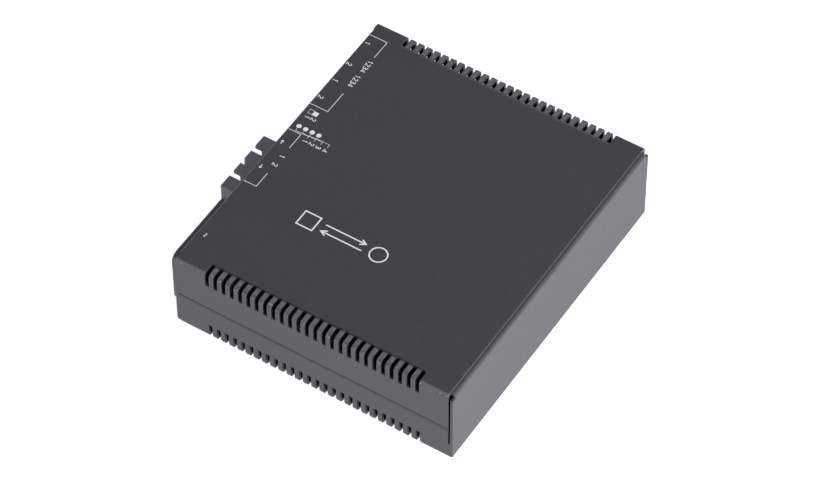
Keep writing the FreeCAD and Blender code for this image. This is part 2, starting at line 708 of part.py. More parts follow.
def fibre_transceiver():
    """Duplex fibre transceiver whose nose stands out of the front wall."""
    spot = {"x": "fibre_at", "y": f"-({WALL} + nose_reach)", "z": NOSE}
    half = "fibre_width / 2"
    body = new_body("fibre_housing", **spot)
    pad(body, "XZ", "0", "fibre_depth", 1, rectangle("-" + half, half, "0", "nose_height"))
    stud = round_loop("stud_across", "stud_along", "stud_radius")
    pad(body, "XY", "0", "nose_lift", -1, stud, mirrored(stud))
    middle = "port_pitch / 2"
    port = rectangle(f"{middle} - port_width / 2", f"{middle} + port_width / 2",
                     "port_floor", "port_floor + port_height")
    pocket(body, "XZ", "0", "port_depth", 1, port, mirrored(port))
    keyway = rectangle(f"{middle} - keyway_width / 2", f"{middle} + keyway_width / 2",
                       "-keyway_length / 4", "keyway_length")
    pocket(body, "XY", "nose_height", "nose_height / 2", -1, keyway, mirrored(keyway))
    pocket(body, "XY", "nose_height + gauge", "nose_height + 2 * gauge", -1,
           rectangle("-dent_width / 2", "dent_width / 2", "-dent_depth / 2", "dent_depth"))

    seat = f"(nose_reach + {WALL} - port_depth)"
    level = f"({NOSE} + port_floor + port_height / 2)"
    sleeves = []
    for at in (f"fibre_at - {middle}", f"fibre_at + {middle}"):
        mouth = (at, f"-{seat} - sleeve_length", level)
        sleeves.append(without(bar(*mouth, "sleeve_radius", "sleeve_length", "can_sides", "y"),
                               bar(*mouth, "sleeve_bore", "sleeve_length", "can_sides", "y")))
    keep(grouped(sleeves), "fibre_sleeves")
    row = f"(fibre_depth - pin_inset - {WALL} - nose_reach)"
    keep(grouped([block(f"fibre_at + {n} * pin_pitch", row, SIGNAL, "pin_width", "pin_width", "nose_lift")
                  for n in range(-4, 5)]), "fibre_pins")


def mains_inlet():
    """Three-blade mains inlet with a round-cornered bezel against the front wall."""
    spot = {"x": "inlet_at", "y": f"-({WALL} + inlet_reach)", "z": INLET}
    half, rise = "inlet_width / 2", "inlet_height / 2"
    body = new_body("mains_inlet_body", **spot)
    pad(body, "XZ", "0", "inlet_reach", 1, rectangle("-" + half, half, "-" + rise, rise))
    width, height = SIZES["inlet_width"] / 2, SIZES["inlet_height"] / 2
    soften(body, "inlet_corner", lambda p: near(abs(p.x), width) and near(abs(p.z), height), "Y")
    back, lift = f"({half} - inlet_side_rim)", f"({rise} - inlet_rim)"
    pad(body, "XZ", "inlet_reach", "inlet_depth - inlet_reach", 1,
        rectangle("-" + back, back, "-" + lift, lift))
    wide, tall = "socket_width / 2", "socket_height / 2"
    bevelled = [(wide, "-" + tall), (wide, f"{tall} - socket_bevel"), (f"{wide} - socket_bevel", tall)]
    pocket(body, "XZ", "0", "socket_depth", 1, bevelled + mirrored(bevelled))

    blades = new_body("mains_inlet_blades", **spot)
    pad(blades, "XZ", "socket_depth", "blade_length", -1,
        *[rectangle(f"{at} - blade_width / 2", f"{at} + blade_width / 2",
                    f"{up} - blade_height / 2", f"{up} + blade_height / 2")
          for at, up in (("-blade_across", "-blade_offset"), ("0", "blade_offset"),
                         ("blade_across", "-blade_offset"))])


# Electronics ---------------------------------------------------------------------------------

def can(name, level, sides="can_sides"):
    """Upright round can of the layout table."""
    return bar(f"{name}_x", f"{name}_y", level, f"{name}_width / 2", f"{name}_height", sides)


def supply_parts():
    """Mains side and low-voltage side of the power supply, on the lower board."""
    axis = ("fuse_clip_1_x", "(fuse_clip_1_y - fuse_clip_1_length / 2)", f"({SUPPLY} + fuse_rise)")
    fuse = bar(*axis, "fuse_radius", "fuse_length", "can_sides", "y")
    keep(fuse, "fuse")
    clips = []
    for name in ("fuse_clip_1", "fuse_clip_2"):
        lap = block(f"{name}_x", f"{name}_y", f"({SUPPLY} + fuse_rise - fuse_radius)", "2 * fuse_radius",
                    f"{name}_length", "2 * fuse_radius")
        clips.append(without(standing(name, SUPPLY), lap))
    keep(grouped(clips), "fuse_clips")
    keep(without(can("choke", SUPPLY), bar("choke_x", "choke_y", f"{SUPPLY} + gauge", "choke_length / 2",
                                           "choke_height", "can_sides")), "line_choke")
    keep(standing("filter", SUPPLY), "line_filter_capacitor")
    keep(standing("rectifier", SUPPLY), "bridge_rectifier")
    keep(can("reservoir", SUPPLY, "2 * can_sides"), "reservoir_capacitor")

    level = f"({SUPPLY} + winding_rise)"
    windows = [block(f"core_x {way} (core_leg + core_window) / 2", "core_y", level,
                     "core_window", "core_length", "winding_height") for way in "-+"]
    keep(without(standing("core", SUPPLY), *windows), "transformer_core")
    keep(without(standing("winding", level), block("core_x", "core_y", level, "core_leg", "core_length",
                                                   "winding_height")), "transformer_winding")
    fins = [block("sink_fin_x", f"(sink_fin_y + {n} * sink_fin_pitch)", SUPPLY, "sink_fin_width",
                  "sink_fin_length", "sink_fin_height") for n in (-1.5, -0.5, 0.5, 1.5)]
    keep(joined(standing("sink_plate", SUPPLY), *fins), "power_heat_sink")
    legs = [block("leg_x", f"(leg_y + {n} * leg_pitch)", SUPPLY, "leg_width", "leg_length", "leg_height")
            for n in (-1, 0, 1)]
    keep(joined(standing("transistor", f"({SUPPLY} + leg_height)"), *legs), "power_transistor")
    keep(grouped([can("output_can_1", SUPPLY), can("output_can_2", SUPPLY)]), "output_capacitors")


def signal_parts():
    """Converter chip with its heat sink, and the parts round it on the upper board."""
    keep(standing("converter", SIGNAL), "converter_chip")
    base = f"({SIGNAL} + converter_height)"
    fins = [block(f"(chip_fin_x + {n} * chip_fin_pitch)", "chip_fin_y", f"({base} + chip_sink_height)",
                  "chip_fin_width", "chip_fin_length", "chip_fin_height")
            for n in (-2.5, -1.5, -0.5, 0.5, 1.5, 2.5)]
    keep(joined(standing("chip_sink", base), *fins), "chip_heat_sink")
    keep(grouped([standing("interface_1", SIGNAL), standing("interface_2", SIGNAL)]), "interface_chips")
    keep(grouped([standing("line_1", SIGNAL), standing("line_2", SIGNAL)]), "line_transformers")
    keep(standing("crystal", SIGNAL), "clock_crystal")
    keep(grouped([joined(can(name, SIGNAL), block(f"{name}_x", f"{name}_y", SIGNAL, f"{name}_length",
                                                  f"{name}_length", "can_base"))
                  for name in ("can_1", "can_2", "can_3")]), "board_capacitors")


def check_and_export():
    """Stop on any failed feature or idle pocket, then write each sub-part's STEP file."""
    doc.recompute()
    for thing in doc.Objects:
        if {"Invalid", "Error"} & set(thing.State):
            raise RuntimeError(f"{thing.Label} ({thing.Name}) failed: {thing.State}")
        if thing.TypeId == "PartDesign::Pocket":
            if thing.Shape.Volume > thing.BaseFeature.Shape.Volume - 1e-6:
                raise RuntimeError(f"{thing.Name} cuts nothing")
    for part in finished:
        if part.Shape.isNull() or not part.Shape.isValid():
            raise RuntimeError(f"{part.Label} has no valid shape")
    os.makedirs("parts", exist_ok=True)
    for part in finished:
        part.Shape.exportStep(f"parts/{part.Label}.step")
        solids = len(part.Shape.Solids)
        print(f"{part.Label:24s} {solids:3d} solid(s) {part.Shape.Volume:11.2f} mm3")


size_sheet()
top_cover()
chassis_tray()
rubber_feet()
cover_fixings()
boards()
data_jack("left", "jack_left")
data_jack("right", "jack_right")
mode_switch()
status_lights()
fibre_transceiver()
mains_inlet()
supply_parts()
signal_parts()
check_and_export()
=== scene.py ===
"""Dresses a fibre media converter: a folded-sheet case with its print, connectors and boards.

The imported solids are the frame, and every piece is placed from the box of the solid that it
stands for. Lengths are in millimetres unless a name says metres. +Z is up, and -Y is the
connector face.
"""
import json
import logging
import math
from dataclasses import dataclass, field
from enum import Enum
from typing import Callable, Iterable, Sequence

import bmesh
import bpy
from mathutils import Matrix, Vector

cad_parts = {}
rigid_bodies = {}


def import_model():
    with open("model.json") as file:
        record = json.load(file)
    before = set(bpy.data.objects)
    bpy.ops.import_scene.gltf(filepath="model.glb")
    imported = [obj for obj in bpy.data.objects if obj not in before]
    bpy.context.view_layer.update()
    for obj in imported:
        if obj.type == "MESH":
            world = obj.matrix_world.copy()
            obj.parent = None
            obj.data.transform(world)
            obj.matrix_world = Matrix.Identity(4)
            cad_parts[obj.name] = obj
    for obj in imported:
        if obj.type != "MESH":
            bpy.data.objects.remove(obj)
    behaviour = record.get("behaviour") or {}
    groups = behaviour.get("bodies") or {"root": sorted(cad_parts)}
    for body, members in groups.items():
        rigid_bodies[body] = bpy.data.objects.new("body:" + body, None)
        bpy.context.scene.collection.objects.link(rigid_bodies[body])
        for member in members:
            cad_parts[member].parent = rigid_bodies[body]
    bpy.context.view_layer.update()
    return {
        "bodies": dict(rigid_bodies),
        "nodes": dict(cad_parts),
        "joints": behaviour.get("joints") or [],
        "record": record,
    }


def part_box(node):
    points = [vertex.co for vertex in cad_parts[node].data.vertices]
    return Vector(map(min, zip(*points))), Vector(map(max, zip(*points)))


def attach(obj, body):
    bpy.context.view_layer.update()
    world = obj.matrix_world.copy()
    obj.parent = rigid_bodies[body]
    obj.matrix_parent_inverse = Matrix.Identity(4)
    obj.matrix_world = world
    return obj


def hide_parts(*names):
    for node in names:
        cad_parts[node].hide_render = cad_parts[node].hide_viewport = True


MM = 0.001
# Radius that stands for nought where a turned profile meets its axis.
HUB = 0.001
LOG = logging.getLogger("media_converter")
Pair = tuple[float, float]
Point = tuple[float, float, float]
Colour = tuple[float, float, float]
Spot = Sequence[float]
Line = Sequence[Spot]
Node = bpy.types.Node
Wire = bpy.types.NodeSocket
Inlets = bpy.types.NodeOutputs


class Body(Enum):
    """Bodies of the frame that pieces ride on."""
    CASE = "case"
    SLIDER = "switch_slider"


class Slot(Enum):
    """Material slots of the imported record."""
    COATING = "case_coating"
    RUBBER = "foot_rubber"
    ZINC = "zinc_plate"
    BOARD = "circuit_board"
    BLACK = "black_moulding"
    PALE = "pale_moulding"
    FIBRE = "fibre_moulding"
    CERAMIC = "white_ceramic"
    GOLD = "gold_contact"
    INLET = "inlet_moulding"
    NICKEL = "nickel_plate"
    TIN = "jack_tin"
    LENS = "lamp_lens"
    GLASS = "fuse_glass"
    FERRITE = "ferrite"
    FILM = "film_box"
    RESIN = "chip_resin"
    CAN = "can_sleeve"
    TAPE = "winding_tape"
    SINK = "sink_aluminium"


# Node trees ----------------------------------------------------------------------------------

class Graph:
    """Short words for building one node tree."""

    def __init__(self, tree: bpy.types.NodeTree) -> None:
        """Takes the tree that nodes are added to."""
        self.tree = tree

    def add(self, kind: str, values: dict | None = None, **settings: object) -> Node:
        """Adds one node.

        Args:
            kind: the node's type without its "ShaderNode" prefix.
            values: what each named or numbered input is given.
            settings: properties of the node itself.

        Returns:
            The new node.
        """
        node = self.tree.nodes.new("ShaderNode" + kind)
        for name, setting in settings.items():
            setattr(node, name, setting)
        for name, value in (values or {}).items():
            self.give(node.inputs[name], value)
        return node

    def give(self, into: Wire, value: object) -> None:
        """Links a socket to an input, or sets the input to a value.

        Args:
            into: the input.
            value: the socket, number or colour that it gets.
        """
        if isinstance(value, bpy.types.NodeSocket):
            self.tree.links.new(value, into)
        elif isinstance(value, tuple) and len(value) == 3 and into.type == "RGBA":
            into.default_value = (*value, 1.0)
        else:
            into.default_value = value

    def sum(self, operation: str, *terms: object, clamp: bool = False) -> Wire:
        """Works out one arithmetic step.

        Args:
            operation: name of the step, such as "MULTIPLY".
            terms: sockets or numbers that it takes.
            clamp: keeps the result from 0 to 1.

        Returns:
            The socket that holds the result.
        """
        values = dict(enumerate(terms))
        return self.add("Math", values, operation=operation, use_clamp=clamp).outputs[0]

    def times(self, *terms: object) -> Wire:
        """Multiplies two or more sockets or numbers.

        Args:
            terms: what is multiplied, in this order.

        Returns:
            The socket that holds the product.
        """
        product = terms[0]
        for term in terms[1:]:
            product = self.sum("MULTIPLY", product, term)
        return product

    def less(self, whole: object, part: object) -> Wire:
        """Takes one socket or number from another."""
        return self.sum("SUBTRACT", whole, part)

    def blend(self, share: object, low: object, high: object) -> Wire:
        """Mixes two colours.

        Args:
            share: how much of the second colour there is.
            low: the first colour.
            high: the second colour.

        Returns:
            The socket that holds the mixed colour.
        """
        node = self.add("Mix", data_type="RGBA")
        for place, value in ((0, share), (6, low), (7, high)):
            self.give(node.inputs[place], value)
        return node.outputs[2]

    def ramp(self, value: object, low: float, high: float) -> Wire:
        """Spreads a range of values smoothly over 0 to 1.

        Args:
            value: the socket to spread.
            low: the value that becomes 0.
            high: the value that becomes 1.

        Returns:
            The socket that holds the result.
        """
        ends = {"Value": value, "From Min": low, "From Max": high}
        return self.add("MapRange", ends, interpolation_type="SMOOTHSTEP").outputs[0]

    def place(self, stretch: Point = (1.0, 1.0, 1.0)) -> Wire:
        """Gives the point on the object in metres, stretched along its axes."""
        point = self.add("TexCoord").outputs["Object"]
        return self.add("Mapping", {"Vector": point, "Scale": stretch}).outputs[0]

    def noise(self, scale: object, detail: float = 2.0, where: Wire | None = None) -> Wire:
        """Gives soft noise from 0 to 1.

        Args:
            scale: spots in a metre.
            detail: how many finer layers it has.
            where: the point to read, or None for the point on the object.

        Returns:
            The socket that holds the noise.
        """
        spot = self.place() if where is None else where
        return self.add("TexNoise", {"Vector": spot, "Scale": scale, "Detail": detail}).outputs[0]


@dataclass(frozen=True)
class PaintedSlotLight:
    """Painted light and shade along the slotted ribs and the bends, with lengths in metres."""
    # Each pair is where a mark starts to show and where it shows in full.
    row_start: Pair = (0.0, 0.0004)
    row_end: Pair = (0.0, 0.0002)
    near_edge: Pair = (-0.0001, 0.0005)
    far_edge: Pair = (-0.0006, 0.0013)
    lid: Pair = (0.0348, 0.0352)
    crest: Pair = (0.05915, 0.0601)
    crest_share: float = 0.8
    line_width: float = 0.0005
    line_edge: Pair = (-0.0001, 0.0001)
    bend_side: Pair = (0.0591, 0.0596)
    bend_level: Pair = (0.0345, 0.035)
    dip_foot: Pair = (0.0346, 0.0349)
    dip_brow: Pair = (0.0354, 0.0351)
    dip_side: Pair = (0.0601, 0.0603)
    dip_share: float = 0.95
    slot_shade_turn: Pair = (0.6, 0.8)
    slot_shade_side: Pair = (0.0549, 0.055)
    slot_shade_end: Pair = (-0.001, 0.0)

    def fill(self, graph: Graph, entry: Inlets) -> dict[str, Wire]:
        """Builds what is inside the group.

        Args:
            graph: the group's tree.
            entry: the group's inputs.

        Returns:
            The painted sheen, shadow line, bend shade and slot-wall shade.
        """
        found = graph.add("TexCoord").outputs
        across, along, level = graph.add("SeparateXYZ", {0: found["Object"]}).outputs
        facing = graph.add("SeparateXYZ", {0: found["Normal"]}).outputs[1]
        side = graph.sum("ABSOLUTE", across)
        top = graph.ramp(level, *self.lid)
        start, end = graph.less(along, entry["Front"]), graph.less(entry["Rear"], along)
        row = graph.times(graph.ramp(start, *self.row_start), graph.ramp(end, *self.row_end))
        near = graph.ramp(graph.less(across, entry["Near"]), *self.near_edge)
        far = graph.ramp(graph.less(entry["Far"], across), *self.far_edge)
        # Painted sheen on the ribs, and a painted highlight on the bend crests.
        crest = graph.times(graph.ramp(side, *self.crest), self.crest_share)
        strip = graph.sum("MAXIMUM", graph.times(graph.sum("MAXIMUM", near, far), row), crest)
        # A painted shadow line just before the near ribs.
        before = graph.less(across, graph.less(entry["Near"], self.line_width))
        line = graph.less(graph.ramp(before, *self.line_edge), near)
        # Painted shade across the bends, and a painted dark band below the plain crests.
        bend = graph.times(graph.ramp(side, *self.bend_side),
                           graph.ramp(level, *self.bend_level), row)
        dip = graph.times(graph.ramp(level, *self.dip_foot), graph.ramp(level, *self.dip_brow),
                          graph.ramp(side, *self.dip_side), self.dip_share)
        # Painted shade in the slot walls that face along the rows.
        cut = graph.times(graph.ramp(graph.sum("ABSOLUTE", facing), *self.slot_shade_turn),
                          graph.ramp(side, *self.slot_shade_side), graph.ramp(start, *self.slot_shade_end),
                          graph.ramp(end, *self.slot_shade_end))
        return {"Strip": graph.times(strip, top), "Line": graph.times(line, row, top),
                "Bend": graph.sum("MAXIMUM", bend, dip), "Cut": cut}


class Socket(Enum):
    """Kinds of socket on a shader group."""
    NUMBER = "NodeSocketFloat"
    TINT = "NodeSocketColor"
    ARROW = "NodeSocketVector"


class Effects:
    """Shader node groups that several finishes share."""

    COARSE = 0.37
    FINE_SHARE = 0.65
    COARSE_SHARE = 0.35
    GLINT_SIZE = 0.8
    GLINT_RANGE = (0.66, 0.8)
    STREAK = (0.04, 1.0, 1.0)
    BEVEL_SAMPLES = 6

    def __init__(self) -> None:
        """Builds each group once."""
        numbers, tint = self._numbers, {"Color": Socket.TINT}
        self.grain = self._group("Moulded grain", numbers("Scale", "Glint"),
                                 numbers("Height", "Glints"), self._grain)
        self.drift = self._group("Tone drift", tint | numbers("Scale", "Amount"), tint,
                                 self._drift)
        self.edge = self._group("Edge catch", numbers("Radius", "Gain"),
                                numbers("Edge") | {"Normal": Socket.ARROW}, self._edge)
        self.brush = self._group("Brushed streaks", numbers("Scale"), numbers("Height"),
                                 self._brush)
        # Painted light and shade along the cover's slotted ribs and bends.
        self.slot_light = self._group("Painted slot light", numbers("Near", "Far", "Front", "Rear"),
                                   numbers("Strip", "Line", "Bend", "Cut"), PaintedSlotLight().fill)

    @staticmethod
    def _numbers(*names: str) -> dict[str, Socket]:
        """Gives each name the socket kind of a number."""
        return dict.fromkeys(names, Socket.NUMBER)

    @staticmethod
    def _group(name: str, takes: dict[str, Socket], puts: dict[str, Socket],
               fill: Callable[[Graph, Inlets], dict[str, Wire]]) -> bpy.types.NodeTree:
        """Makes one group.

        Args:
            name: the group's name.
            takes: its inputs and their kinds.
            puts: its outputs and their kinds.
            fill: method that builds what is inside.

        Returns:
            The node tree of the group.
        """
        tree = bpy.data.node_groups.new(name, "ShaderNodeTree")
        for way, sockets in (("INPUT", takes), ("OUTPUT", puts)):
            for word, kind in sockets.items():
                tree.interface.new_socket(name=word, in_out=way, socket_type=kind.value)
        graph = Graph(tree)
        entry = tree.nodes.new("NodeGroupInput").outputs
        leave = tree.nodes.new("NodeGroupOutput").inputs
        for word, socket in fill(graph, entry).items():
            graph.give(leave[word], socket)
        return tree

    def _grain(self, graph: Graph, entry: Inlets) -> dict[str, Wire]:
        """Gives fine pebbly grain, and a few grains with painted glints.

        Args:
            graph: the group's tree.
            entry: the group's inputs.

        Returns:
            The height and the painted glints.
        """
        scale = entry["Scale"]
        fine = graph.times(graph.noise(scale, 2.0), self.FINE_SHARE)
        wide = graph.times(graph.noise(graph.times(scale, self.COARSE), 1.0), self.COARSE_SHARE)
        # A few grains that get painted glints.
        spots = graph.noise(graph.times(scale, self.GLINT_SIZE), 0.0)
        glints = graph.times(graph.ramp(spots, *self.GLINT_RANGE), entry["Glint"])
        return {"Height": graph.sum("ADD", fine, wide), "Glints": glints}

    @staticmethod
    def _drift(graph: Graph, entry: Inlets) -> dict[str, Wire]:
        """Makes a colour lighter and darker in wide soft clouds.

        Args:
            graph: the group's tree.
            entry: the group's inputs.

        Returns:
            The changed colour.
        """
        cloud = graph.less(graph.noise(entry["Scale"], 3.0), 0.5)
        gain = graph.sum("ADD", graph.times(cloud, entry["Amount"]), 1.0)
        changed = graph.add("VectorMath", {0: entry["Color"], "Scale": gain}, operation="SCALE")
        return {"Color": changed.outputs[0]}

    def _edge(self, graph: Graph, entry: Inlets) -> dict[str, Wire]:
        """Rounds the look of hard edges, and gives a mask of them for painted edge highlights.

        Args:
            graph: the group's tree.
            entry: the group's inputs.

        Returns:
            The mask of the painted edge highlights, and the softened normal.
        """
        soft = graph.add("Bevel", {"Radius": entry["Radius"]}, samples=self.BEVEL_SAMPLES)
        soft, face = soft.outputs[0], graph.add("NewGeometry").outputs["Normal"]
        turn = graph.add("VectorMath", {0: soft, 1: face}, operation="DOT_PRODUCT")
        lost = graph.less(1.0, turn.outputs["Value"])
        return {"Edge": graph.sum("MULTIPLY", lost, entry["Gain"], clamp=True), "Normal": soft}

    def _brush(self, graph: Graph, entry: Inlets) -> dict[str, Wire]:
        """Gives long fine streaks along X."""
        return {"Height": graph.noise(entry["Scale"], 3.0, graph.place(self.STREAK))}


# Finishes ------------------------------------------------------------------------------------

@dataclass(frozen=True)
class Finish:
    """One surface finish, made as a material from the shared effects."""
    name: str
    colour: Colour
    roughness: float
    slot: Slot
    metallic: float = 0.0
    grain: float = 2200.0
    depth: float = 0.02
    # Painted glints: how much a few grains go to the pale tone.
    glint: float = 0.0
    drift: float = 0.12
    cloud: float = 45.0
    # Painted highlight on hard edges: how far their colour goes to the pale tone.
    edge: float = 0.0
    edge_radius: float = 0.2
    brushed: bool = False
    coat: float = 0.0
    clear: float = 0.0
    glow: float = 0.0
    # The pale tone of the painted glints and painted edge highlights.
    pale_gain: float = 2.2
    pale_lift: float = 0.02
    rough_swing: float = 0.16

    def make(self, effects: Effects) -> bpy.types.Material:
        """Builds the material.

        Args:
            effects: the shared shader groups.

        Returns:
            The new material.
        """
        material = bpy.data.materials.new(self.name)
        material.use_nodes = True
        graph = Graph(material.node_tree)
        skin = material.node_tree.nodes["Principled BSDF"].inputs
        colour, rough = self._colour(graph, effects)
        looks = {"Base Color": colour, "Roughness": rough,
                 "Normal": self._relief(graph, effects), "Metallic": self.metallic,
                 "Coat Weight": self.coat, "Transmission Weight": self.clear}
        if self.glow:
            looks |= {"Emission Color": colour, "Emission Strength": self.glow}
        for name, value in looks.items():
            graph.give(skin[name], value)
        return material

    def _toned(self, gain: float, lift: float = 0.0) -> Colour:
        """Gives the finish's colour times a gain, plus a lift, and no paler than white."""
        return tuple(min(1.0, part * gain + lift) for part in self.colour)

    def _colour(self, graph: Graph, effects: Effects) -> tuple[Wire | Colour, Wire]:
        """Builds the colour and roughness of the surface, with painted glints and painted edge
        highlights.

        Args:
            graph: the material's tree.
            effects: the shared shader groups.

        Returns:
            The socket that holds the colour, or the colour itself where it is the same all
            over, and the socket that holds the roughness.
        """
        colour, pale = self.colour, self._toned(self.pale_gain, self.pale_lift)
        if self.drift:
            tone = {"Color": colour, "Scale": self.cloud, "Amount": self.drift}
            colour = graph.add("Group", tone, node_tree=effects.drift).outputs["Color"]
        grain = self._grain(graph, effects).outputs
        # Painted glints take the pale tone.
        if self.glint:
            colour = graph.blend(grain["Glints"], colour, pale)
        # Painted edge highlights take the pale tone.
        if self.edge:
            colour = graph.blend(self._edges(graph, effects).outputs["Edge"], colour, pale)
        swing = graph.times(grain["Height"], self.rough_swing)
        return colour, graph.sum("ADD", swing, self.roughness - self.rough_swing / 2)

    def _grain(self, graph: Graph, effects: Effects) -> Node:
        """Places the grain group with this finish's values."""
        values = {"Scale": self.grain, "Glint": self.glint}
        return graph.add("Group", values, node_tree=effects.grain)

    def _edges(self, graph: Graph, effects: Effects) -> Node:
        """Places the edge group with this finish's values."""
        values = {"Radius": self.edge_radius * MM, "Gain": self.edge}
        return graph.add("Group", values, node_tree=effects.edge)

    def _relief(self, graph: Graph, effects: Effects) -> Wire:
        """Builds the small relief of the surface.

        Args:
            graph: the material's tree.
            effects: the shared shader groups.

        Returns:
            The socket that holds the surface's normal.
        """
        if self.brushed:
            height = graph.add("Group", {"Scale": self.grain}, node_tree=effects.brush).outputs[0]
        else:
            height = self._grain(graph, effects).outputs["Height"]
        relief = {"Strength": 1.0, "Distance": self.depth * MM, "Height": height,
                  "Normal": self._edges(graph, effects).outputs["Normal"]}
        return graph.add("Bump", relief).outputs[0]


@dataclass(frozen=True)
class PowderCoat(Finish):
    """Fine-textured powder coat on folded sheet, with light and shade painted along the slotted
    ribs and bends.
    """
    strip_near: float = 56.3
    strip_far: float = -55.1
    strip_front: float = -36.3
    strip_rear: float = 44.95
    # Gain of the painted sheen, and the painted shade of the rib line and bends.
    rib_sheen_gain: float = 2.55
    line_shade: float = 0.5
    bend_shade: float = 0.62
    # Painted glints on the bends, and painted shade in the slot walls.
    bend_glint: float = 0.9
    glint_scale: float = 2600.0
    glint_tone: Colour = (0.55, 0.55, 0.594)
    slot_shade_tone: Colour = (0.02, 0.015, 0.013)

    def _colour(self, graph: Graph, effects: Effects) -> tuple[Wire, Wire]:
        """Paints sheen, glints and shade along the slotted ribs and bends.

        Args:
            graph: the material's tree.
            effects: the shared shader groups.

        Returns:
            The sockets that hold the colour and the roughness.
        """
        colour, rough = super()._colour(graph, effects)
        ends = {"Near": self.strip_near, "Far": self.strip_far, "Front": self.strip_front,
                "Rear": self.strip_rear}
        marks = graph.add("Group", {name: end * MM for name, end in ends.items()},
                          node_tree=effects.slot_light).outputs
        # Painted sheen on ribs and crests, a painted shadow line, and painted shade on bends.
        for mark, gain in (("Strip", self.rib_sheen_gain), ("Line", self.line_shade),
                           ("Bend", self.rib_sheen_gain * self.bend_shade)):
            colour = graph.blend(marks[mark], colour, self._toned(gain))
        # Painted glints on the bends.
        glints = graph.add("Group", {"Scale": self.glint_scale, "Glint": self.bend_glint},
                           node_tree=effects.grain).outputs["Glints"]
        colour = graph.blend(graph.times(glints, marks["Bend"]), colour, self.glint_tone)
        # Painted shade in the slot walls.
        return graph.blend(marks["Cut"], colour, self.slot_shade_tone), rough


@dataclass(frozen=True)
class TrayCoat(PowderCoat):
    """The same coat on the tray: no painted rib sheen, and painted light on the hem tops."""
    strip_near: float = 200.0
    strip_far: float = -200.0
    # Where the painted light on the hem tops lies, and how pale it makes them.
    hem_level: Pair = (34.6, 34.8)
    hem_light_gain: float = 1.35

    def _colour(self, graph: Graph, effects: Effects) -> tuple[Wire, Wire]:
        """Paints light onto the hem tops.

        Args:
            graph: the material's tree.
            effects: the shared shader groups.

        Returns:
            The sockets that hold the colour and the roughness.
        """
        colour, rough = super()._colour(graph, effects)
        level = graph.add("SeparateXYZ", {0: graph.place()}).outputs[2]
        # The hem tops are painted paler, as painted light.
        hem = graph.ramp(level, *(end * MM for end in self.hem_level))
        return graph.blend(hem, colour, self._toned(self.hem_light_gain)), rough


@dataclass(frozen=True)
class SolderMask(Finish):
    """Green lacquer over copper tracks, with tinned pads."""
    track: float = 420.0
    track_steps: float = 5.0
    track_rise: Pair = (0.55, 0.62)
    track_fall: Pair = (0.82, 0.9)
    track_gain: float = 2.1
    track_lift: float = 0.01
    pad_edge: Pair = (0.07, 0.1)
    tin: Colour = (0.62, 0.62, 0.6)

    def _colour(self, graph: Graph, effects: Effects) -> tuple[Wire, Wire]:
        """Lays tracks and pads into the board's colour.

        Args:
            graph: the material's tree.
            effects: the shared shader groups.

        Returns:
            The sockets that hold the colour and the roughness.
        """
        colour, rough = super()._colour(graph, effects)
        cells = graph.add("TexVoronoi", {"Vector": graph.place(), "Scale": self.track},
                          feature="F1", distance="MANHATTAN").outputs["Distance"]
        step = graph.sum("FRACT", graph.times(cells, self.track_steps))
        track = graph.less(graph.ramp(step, *self.track_rise), graph.ramp(step, *self.track_fall))
        colour = graph.blend(track, colour, self._toned(self.track_gain, self.track_lift))
        pad = graph.less(1.0, graph.ramp(cells, *self.pad_edge))
        return graph.blend(pad, colour, self.tin), rough


# Meshes --------------------------------------------------------------------------------------

@dataclass(frozen=True)
class Room:
    """The box that a solid fills, in millimetres."""
    low: Vector
    high: Vector

    @property
    def middle(self) -> Vector:
        """Gives the middle of the box."""
        return (self.low + self.high) / 2

    @property
    def size(self) -> Vector:
        """Gives the box's size along each axis."""
        return self.high - self.low


def arc(middle: Pair, radius: float, start: float, end: float, steps: int) -> list[Pair]:
    """Gives points along part of a circle.

    Args:
        middle: the circle's middle.
        radius: its radius.
        start: where it starts, in degrees.
        end: where it ends, in degrees.
        steps: how many parts it has.

    Returns:
        The points, with both ends.
    """
    turns = [math.radians(start + (end - start) * step / steps) for step in range(steps + 1)]
    return [(middle[0] + radius * math.cos(turn), middle[1] + radius * math.sin(turn))
            for turn in turns]


def circle(middle: Pair, radius: float, sides: int) -> list[Pair]:
    """Gives points all round a circle."""
    return arc(middle, radius, 0, 360, sides)[:-1]


